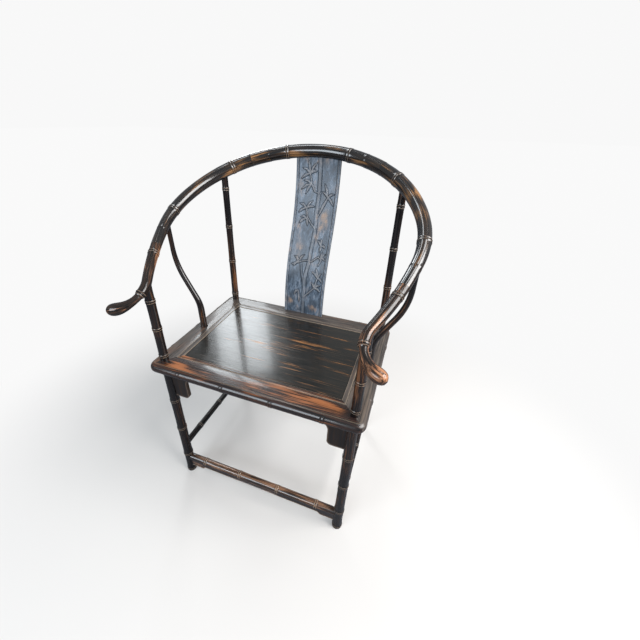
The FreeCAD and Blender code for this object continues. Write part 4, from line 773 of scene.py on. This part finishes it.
# Painted reflection: the blue-grey dark and brown are a painted bluish sheen over the dark lacquer.
splat_lacquer = lacquered("splat_lacquer", dark=(0.034, 0.056, 0.088),
                          brown=(0.27, 0.355, 0.46), amber=(0.4, 0.275, 0.2),
                          worn=(0.55, 0.74), rub=(0.3, 0.285, 0.28), gloss=(0.3, 0.45),
                          patch=(30, 30, 13), fibre=(150, 150, 60), polish=0.05,
                          clouds=0.65)
splat_worn = ((0.038, 0.24, 0.80, 0.02, 0.15), (0.036, 0.23, 0.77, 0.018, 0.15),
              (-0.03, 0.2, 0.71, 0.02, 0.17), (-0.028, 0.19, 0.68, 0.018, 0.15),
              (0.02, 0.26, 0.94, 0.018, 0.15), (0.03, 0.17, 0.515, 0.014, 0.3),
              (-0.048, 0.17, 0.53, 0.014, 0.2), (-0.034, 0.26, 0.945, 0.012, 0.15),
              (0, 0.2, 0.62, 0.02, 0.08), (0.006, 0.25, 0.88, 0.016, 0.1))
splat = swept(splat_outline, list(range(SPLAT_STEPS + 1)), splat_point)
finished(splat, "carved_splat", "back_splat", splat_lacquer, 20, sharp=60,
         worn_spots=splat_worn)

# S-shaped posts between the seat and the arms. Each is sawn and rounded from one piece, thicker
# and slightly flared at its foot, and tenoned into the seat frame and up into the rail.

ARM_POST_INSET, ARM_POST_FORWARD, CURVE_STEP = 0.034, 0.0025, 0.006
ARM_FOOT = Vector((SEAT_X - ARM_POST_INSET, SEAT_MIDDLE - ARM_POST_FORWARD, SEAT_TOP))
ARM_RISE_SHARES = (0.191, 0.242)
arm_head = rail_spine(ARM_POST_PLACE).translation
arm_step = arm_head - ARM_FOOT
arm_across = math.hypot(arm_step.x, arm_step.y)
arm_low, arm_high = [arm_step.z * share for share in ARM_RISE_SHARES]
arm_curve, arm_travel = s_spine(arm_across, arm_step.z - arm_low - arm_high,
                                bend_share=1.5, low_share=0.33, low_rise=arm_low)
arm_travel += arm_high
arm_facing = Matrix.Translation(ARM_FOOT) @ Matrix.Rotation(
    math.atan2(arm_step.y, arm_step.x), 4, "Z")


def arm_post_spine(travel):
    off, height, lean = arm_curve(travel)
    return arm_facing @ Matrix.Translation((off, 0, height)) @ Matrix.Rotation(lean, 4, "Y")


ARM_POST_RADII = tapered((0, 0.0113), (0.002, 0.0112), (0.006, 0.0099), (0.06, 0.0099),
                         (0.12, 0.0083), (0.19, 0.008), (0.26, 0.0066), (0.4, 0.0063))
arm_post = swept(ROUND, bamboo(0, arm_travel, ARM_POST_RADII, (), CURVE_STEP),
                 carved_round(arm_post_spine))
both_sides(arm_post, "s_post", "arm_post", post_lacquer, (24, 25))

# Horseshoe rail. Five timbers on one curve, joined by half-lapped scarfs with square keys and
# carved round as bamboo, thinner towards the grips, which turn down and out to a club end.

CREST_SCARF, ARM_SCARF, SCARF_HALF = 0.175, 0.585, 0.028
RAIL_NODES = (0.0935, 0.262, 0.483, 0.639, 0.766)
GRIP_START, GRIP_END = 0.7705, 0.851
RAIL_RADII = tapered((-0.3, 0.017), (0, 0.0175), (0.3, 0.017), (0.483, 0.0151), (0.639, 0.0126),
                     (0.766, 0.0113))
GRIP_LENGTH, GRIP_RADIUS = GRIP_END - GRIP_START, 0.0148
# The grip's outline, in shares of its length and of its radius
GRIP_SHARES = ((0.08, 0.6), (0.165, 0.597), (0.25, 0.635), (0.35, 0.695), (0.44, 0.77),
               (0.54, 0.865), (0.63, 0.945), (0.72, 0.995), (0.8, 0.99), (0.87, 0.925),
               (0.925, 0.8), (0.965, 0.61), (0.99, 0.38), (1, 0.2))
GRIP_FIRST, GRIP_STEPS = 0.02, 60
NECK_GAPS, NECK_SHARE = (0.0013, 0.0024, 0.0033, 0.004), 0.86
SHOULDER_CLEAR, SHOULDER_GAP = 0.001, 0.00005


def lapped(stations, shoulder, way, side):
    """Half the rail's thickness away beyond a sharp shoulder. The lap runs to the timber's far
    end, way 1, or to its near end, way -1."""
    stations = [station for station in stations if abs(station[0] - shoulder) > SHOULDER_CLEAR]
    for gap in (-SHOULDER_GAP, SHOULDER_GAP):
        stations.append((shoulder + gap, RAIL_RADII(shoulder), 0))
    return [(*station, side) if (station[0] - shoulder) * way >= 0 else station
            for station in sorted(stations)]


def rail_timber(start, end, laps, grip=False):
    """One timber of the rail, with its laps as (shoulder, way, side kept)."""
    nodes = [side * node for node in RAIL_NODES for side in (-1, 1)
             if start < side * node < end]
    stop = RAIL_NODES[-1] if grip else end
    stations = bamboo(start, stop, RAIL_RADII, nodes, CURVE_STEP)
    for lap in laps:
        stations = lapped(stations, *lap)
    if grip:
        for gap in NECK_GAPS:
            rise, ridge = node_rise(gap)
            stations.append((stop + gap, rise + RAIL_RADII(stop) * NECK_SHARE, ridge))
        shares = numpy.linspace(GRIP_FIRST, 1, GRIP_STEPS)
        radii = numpy.interp(shares, *zip(*GRIP_SHARES))
        stations += [(GRIP_START + GRIP_LENGTH * float(share), GRIP_RADIUS * float(radius), 0)
                     for share, radius in zip(shares, radii)]
    return swept(ROUND, stations, carved_round(rail_spine))


arm_lacquer = lacquered("arm_lacquer", dark=(0.007, 0.0065, 0.006),
                        brown=(0.045, 0.026, 0.018), amber=(0.52, 0.235, 0.115),
                        worn=(0.55, 0.66), gloss=(0.13, 0.26), patch=(46, 46, 9),
                        rub=(0.22, 0.155, 0.105), tool_marks=0.05, polish=0.2, softness=0.12)
rail_lacquer = lacquered("rail_lacquer", dark=(0.006, 0.006, 0.0065),
                         brown=(0.03, 0.02, 0.014), amber=(0.34, 0.165, 0.06),
                         worn=(0.56, 0.65), gloss=(0.12, 0.24), patch=(44, 44, 9),
                         rub=(0.22, 0.155, 0.105), tool_marks=0.1, polish=0.9, softness=0.12)
crest_worn = ((-0.04, 0.285, 0.984, 0.05, 0.06), (0.03, 0.285, 0.984, 0.04, 0.04))
arm_worn = ((0.262, -0.21, 0.712, 0.03, 0.1), (0.30, -0.15, 0.745, 0.04, -0.07),
            (0.28, -0.26, 0.69, 0.03, 0.05), (0.325, -0.275, 0.68, 0.05, 0.075))
shoulder_worn = ((0.283, 0.125, 0.9, 0.022, 0.2), (0.294, 0.07, 0.875, 0.025, 0.11))
left_arm_worn = ((-0.285, -0.156, 0.736, 0.04, 0.03), (-0.26, -0.25, 0.7, 0.05, 0.03),
                 (-0.31, -0.275, 0.67, 0.04, 0.02))
crest_shoulder, crest_end = CREST_SCARF - SCARF_HALF, CREST_SCARF + SCARF_HALF
arm_shoulder, arm_end = ARM_SCARF - SCARF_HALF, ARM_SCARF + SCARF_HALF
crest = rail_timber(-crest_end, crest_end, ((crest_shoulder, 1, 1), (-crest_shoulder, -1, 1)))
finished(crest, "crest_timber", "crest_rail", rail_lacquer, 30,
         worn_spots=crest_worn)
shoulder = rail_timber(crest_shoulder, arm_end, ((crest_end, -1, -1), (arm_shoulder, 1, 1)))
both_sides(shoulder, "shoulder_timber", "shoulder_rail", rail_lacquer, (31, 32),
           shoulder_worn)
arm = rail_timber(arm_shoulder, GRIP_END, ((arm_end, -1, -1),), grip=True)
both_sides(arm, "arm_timber", "arm_rail", arm_lacquer, (33, 34),
           arm_worn, left_arm_worn)

# Square keys. A small block of the same wood is driven through each scarf joint of the rail to
# lock its two halves, and is pared off flush. Lacquer covers it, so it ends just inside.

KEY_LENGTH, KEY_WIDTH, KEY_SUNK = 0.009, 0.006, 0.001
keys = bmesh.new()
for place in (CREST_SCARF, ARM_SCARF):
    for side in (1, -1):
        radius = RAIL_RADII(place) - KEY_SUNK
        shape = Matrix.Diagonal((KEY_WIDTH, 2 * radius, KEY_LENGTH, 1))
        mirror = Matrix.Diagonal((side, 1, 1, 1))
        bmesh.ops.create_cube(keys, size=1, matrix=mirror @ rail_spine(place) @ shape)
keys.verts.layers.float_vector.new("grain")
finished(keys, "square_keys", "scarf_keys", rail_lacquer, 35)

# Studio, no piece of the chair: a plain pale floor that grows lighter away from the chair until
# it runs into the backdrop, soft lamps, and the photograph's own camera.

FLOOR_SIZE, FLOOR_MATT = 60, 0.95
FLOOR_TINT, FLOOR_SEEN = (0.18, 0.19, 0.21, 1), (0.7, 0.675, 0.65, 1)
FLOOR_FAR = (0.95, 0.95, 0.95, 1)
FADE_NEAR, FADE_FAR, FADE_LEAST = 0.6, 1.35, 0.12
BACKDROP, ROOM, ROOM_LIGHT = (0.94, 0.94, 0.94, 1), (0.86, 0.93, 1.0, 1), 0.32

bpy.ops.mesh.primitive_plane_add(size=FLOOR_SIZE, location=(0, 0, 0))
floor = bpy.context.object
floor.name = "studio_floor"
floor_paint = bpy.data.materials.new("pale_floor")
floor_paint.use_nodes = True
paint = floor_paint.node_tree
matt = paint.nodes["Principled BSDF"]
matt.inputs["Roughness"].default_value = FLOOR_MATT
matt.inputs["Specular IOR Level"].default_value = 0
seen = wired(paint, "ShaderNodeLightPath", {}, "Is Camera Ray")
tint = wired(paint, "ShaderNodeMixRGB", {0: seen, 1: FLOOR_TINT, 2: FLOOR_SEEN})
spot = wired(paint, "ShaderNodeTexCoord", {}, "Object")
away = wired(paint, "ShaderNodeVectorMath", {0: spot}, "Value", operation="LENGTH")
fade = wired(paint, "ShaderNodeMapRange", {0: away, 1: FADE_NEAR, 2: FADE_FAR, 3: FADE_LEAST},
             interpolation_type="SMOOTHSTEP")
share = wired(paint, "ShaderNodeMath", {0: seen, 1: fade}, operation="MULTIPLY")
glow = wired(paint, "ShaderNodeEmission", {"Color": FLOOR_FAR})
surface = wired(paint, "ShaderNodeMixShader", {0: share, 1: matt.outputs[0], 2: glow})
paint.links.new(tint, matt.inputs["Base Color"])
paint.links.new(surface, paint.nodes["Material Output"].inputs[0])
floor.data.materials.append(floor_paint)

world = bpy.data.worlds.new("studio")
world.use_nodes = True
sky = world.node_tree
backdrop = sky.nodes["Background"]
backdrop.inputs["Color"].default_value = BACKDROP
room = wired(sky, "ShaderNodeBackground", {"Color": ROOM, "Strength": ROOM_LIGHT})
seen = wired(sky, "ShaderNodeLightPath", {}, "Is Camera Ray")
around = wired(sky, "ShaderNodeMixShader", {0: seen, 1: room, 2: backdrop.outputs[0]})
sky.links.new(around, sky.nodes["World Output"].inputs[0])
bpy.context.scene.world = world

DAYLIGHT, SKY_LIGHT, SHADE_LIGHT = (1.0, 0.99, 0.98), (0.92, 0.97, 1.0), (0.84, 0.92, 1.0)


def softbox(name, place, target, width, height, power, colour):
    """A soft rectangular lamp at a place, turned to its target, with its power in watts."""
    lamp = bpy.data.lights.new(name, "AREA")
    lamp.shape, lamp.size, lamp.size_y = "RECTANGLE", width, height
    lamp.energy, lamp.color = power, colour
    stand = bpy.data.objects.new(name, lamp)
    facing = (Vector(target) - Vector(place)).to_track_quat("-Z", "Y")
    stand.matrix_world = Matrix.Translation(place) @ facing.to_matrix().to_4x4()
    bpy.context.scene.collection.objects.link(stand)


softbox("window_rear_left", (-1.42, 2.0, 2.15), (-0.1, 0, 0.5), 0.62, 0.95, 16, SKY_LIGHT)
softbox("ceiling", (0.9, 0.3, 2.5), (0, 0, 0.4), 0.5, 0.5, 5, DAYLIGHT)
softbox("skylight", (-0.5, 0.55, 2.2), (0.31, 0.08, 0.87), 0.8, 0.22, 3.6, SKY_LIGHT)
softbox("window_right", (2.1, -0.25, 2.05), (0, 0, 0.4), 1.9, 1.7, 98, DAYLIGHT)
softbox("window_front", (-0.95, -2.5, 1.5), (0, 0.2, 0.9), 1.8, 1.3, 52, SHADE_LIGHT)

CAMERA_PLACE = (0.3083, -0.7019, 1.0408)
CAMERA_YAW, CAMERA_PITCH = math.radians(-19.631), math.radians(-34.279)
CAMERA_ROLL, FOCAL_PIXELS, IMAGE_PIXELS, SENSOR = math.radians(1.46), 311.65, 640, 36
PRINCIPAL_X, PRINCIPAL_Y = 302.09, 331.30
forward = Vector((math.sin(CAMERA_YAW) * math.cos(CAMERA_PITCH),
                  math.cos(CAMERA_YAW) * math.cos(CAMERA_PITCH), math.sin(CAMERA_PITCH)))
level = Vector((math.cos(CAMERA_YAW), -math.sin(CAMERA_YAW), 0))
above = level.cross(forward)
across = level * math.cos(CAMERA_ROLL) + above * math.sin(CAMERA_ROLL)
upward = above * math.cos(CAMERA_ROLL) - level * math.sin(CAMERA_ROLL)
view = bpy.data.cameras.new("camera")
view.sensor_width = SENSOR
view.lens = FOCAL_PIXELS / IMAGE_PIXELS * SENSOR
view.shift_x = 0.5 - PRINCIPAL_X / IMAGE_PIXELS
view.shift_y = PRINCIPAL_Y / IMAGE_PIXELS - 0.5
camera = bpy.data.objects.new("camera", view)
camera.matrix_world = (Matrix.Translation(CAMERA_PLACE)
                       @ Matrix((across, upward, -forward)).transposed().to_4x4())
bpy.context.scene.collection.objects.link(camera)
bpy.context.scene.camera = camera
bpy.context.scene.view_settings.view_transform = "Standard"
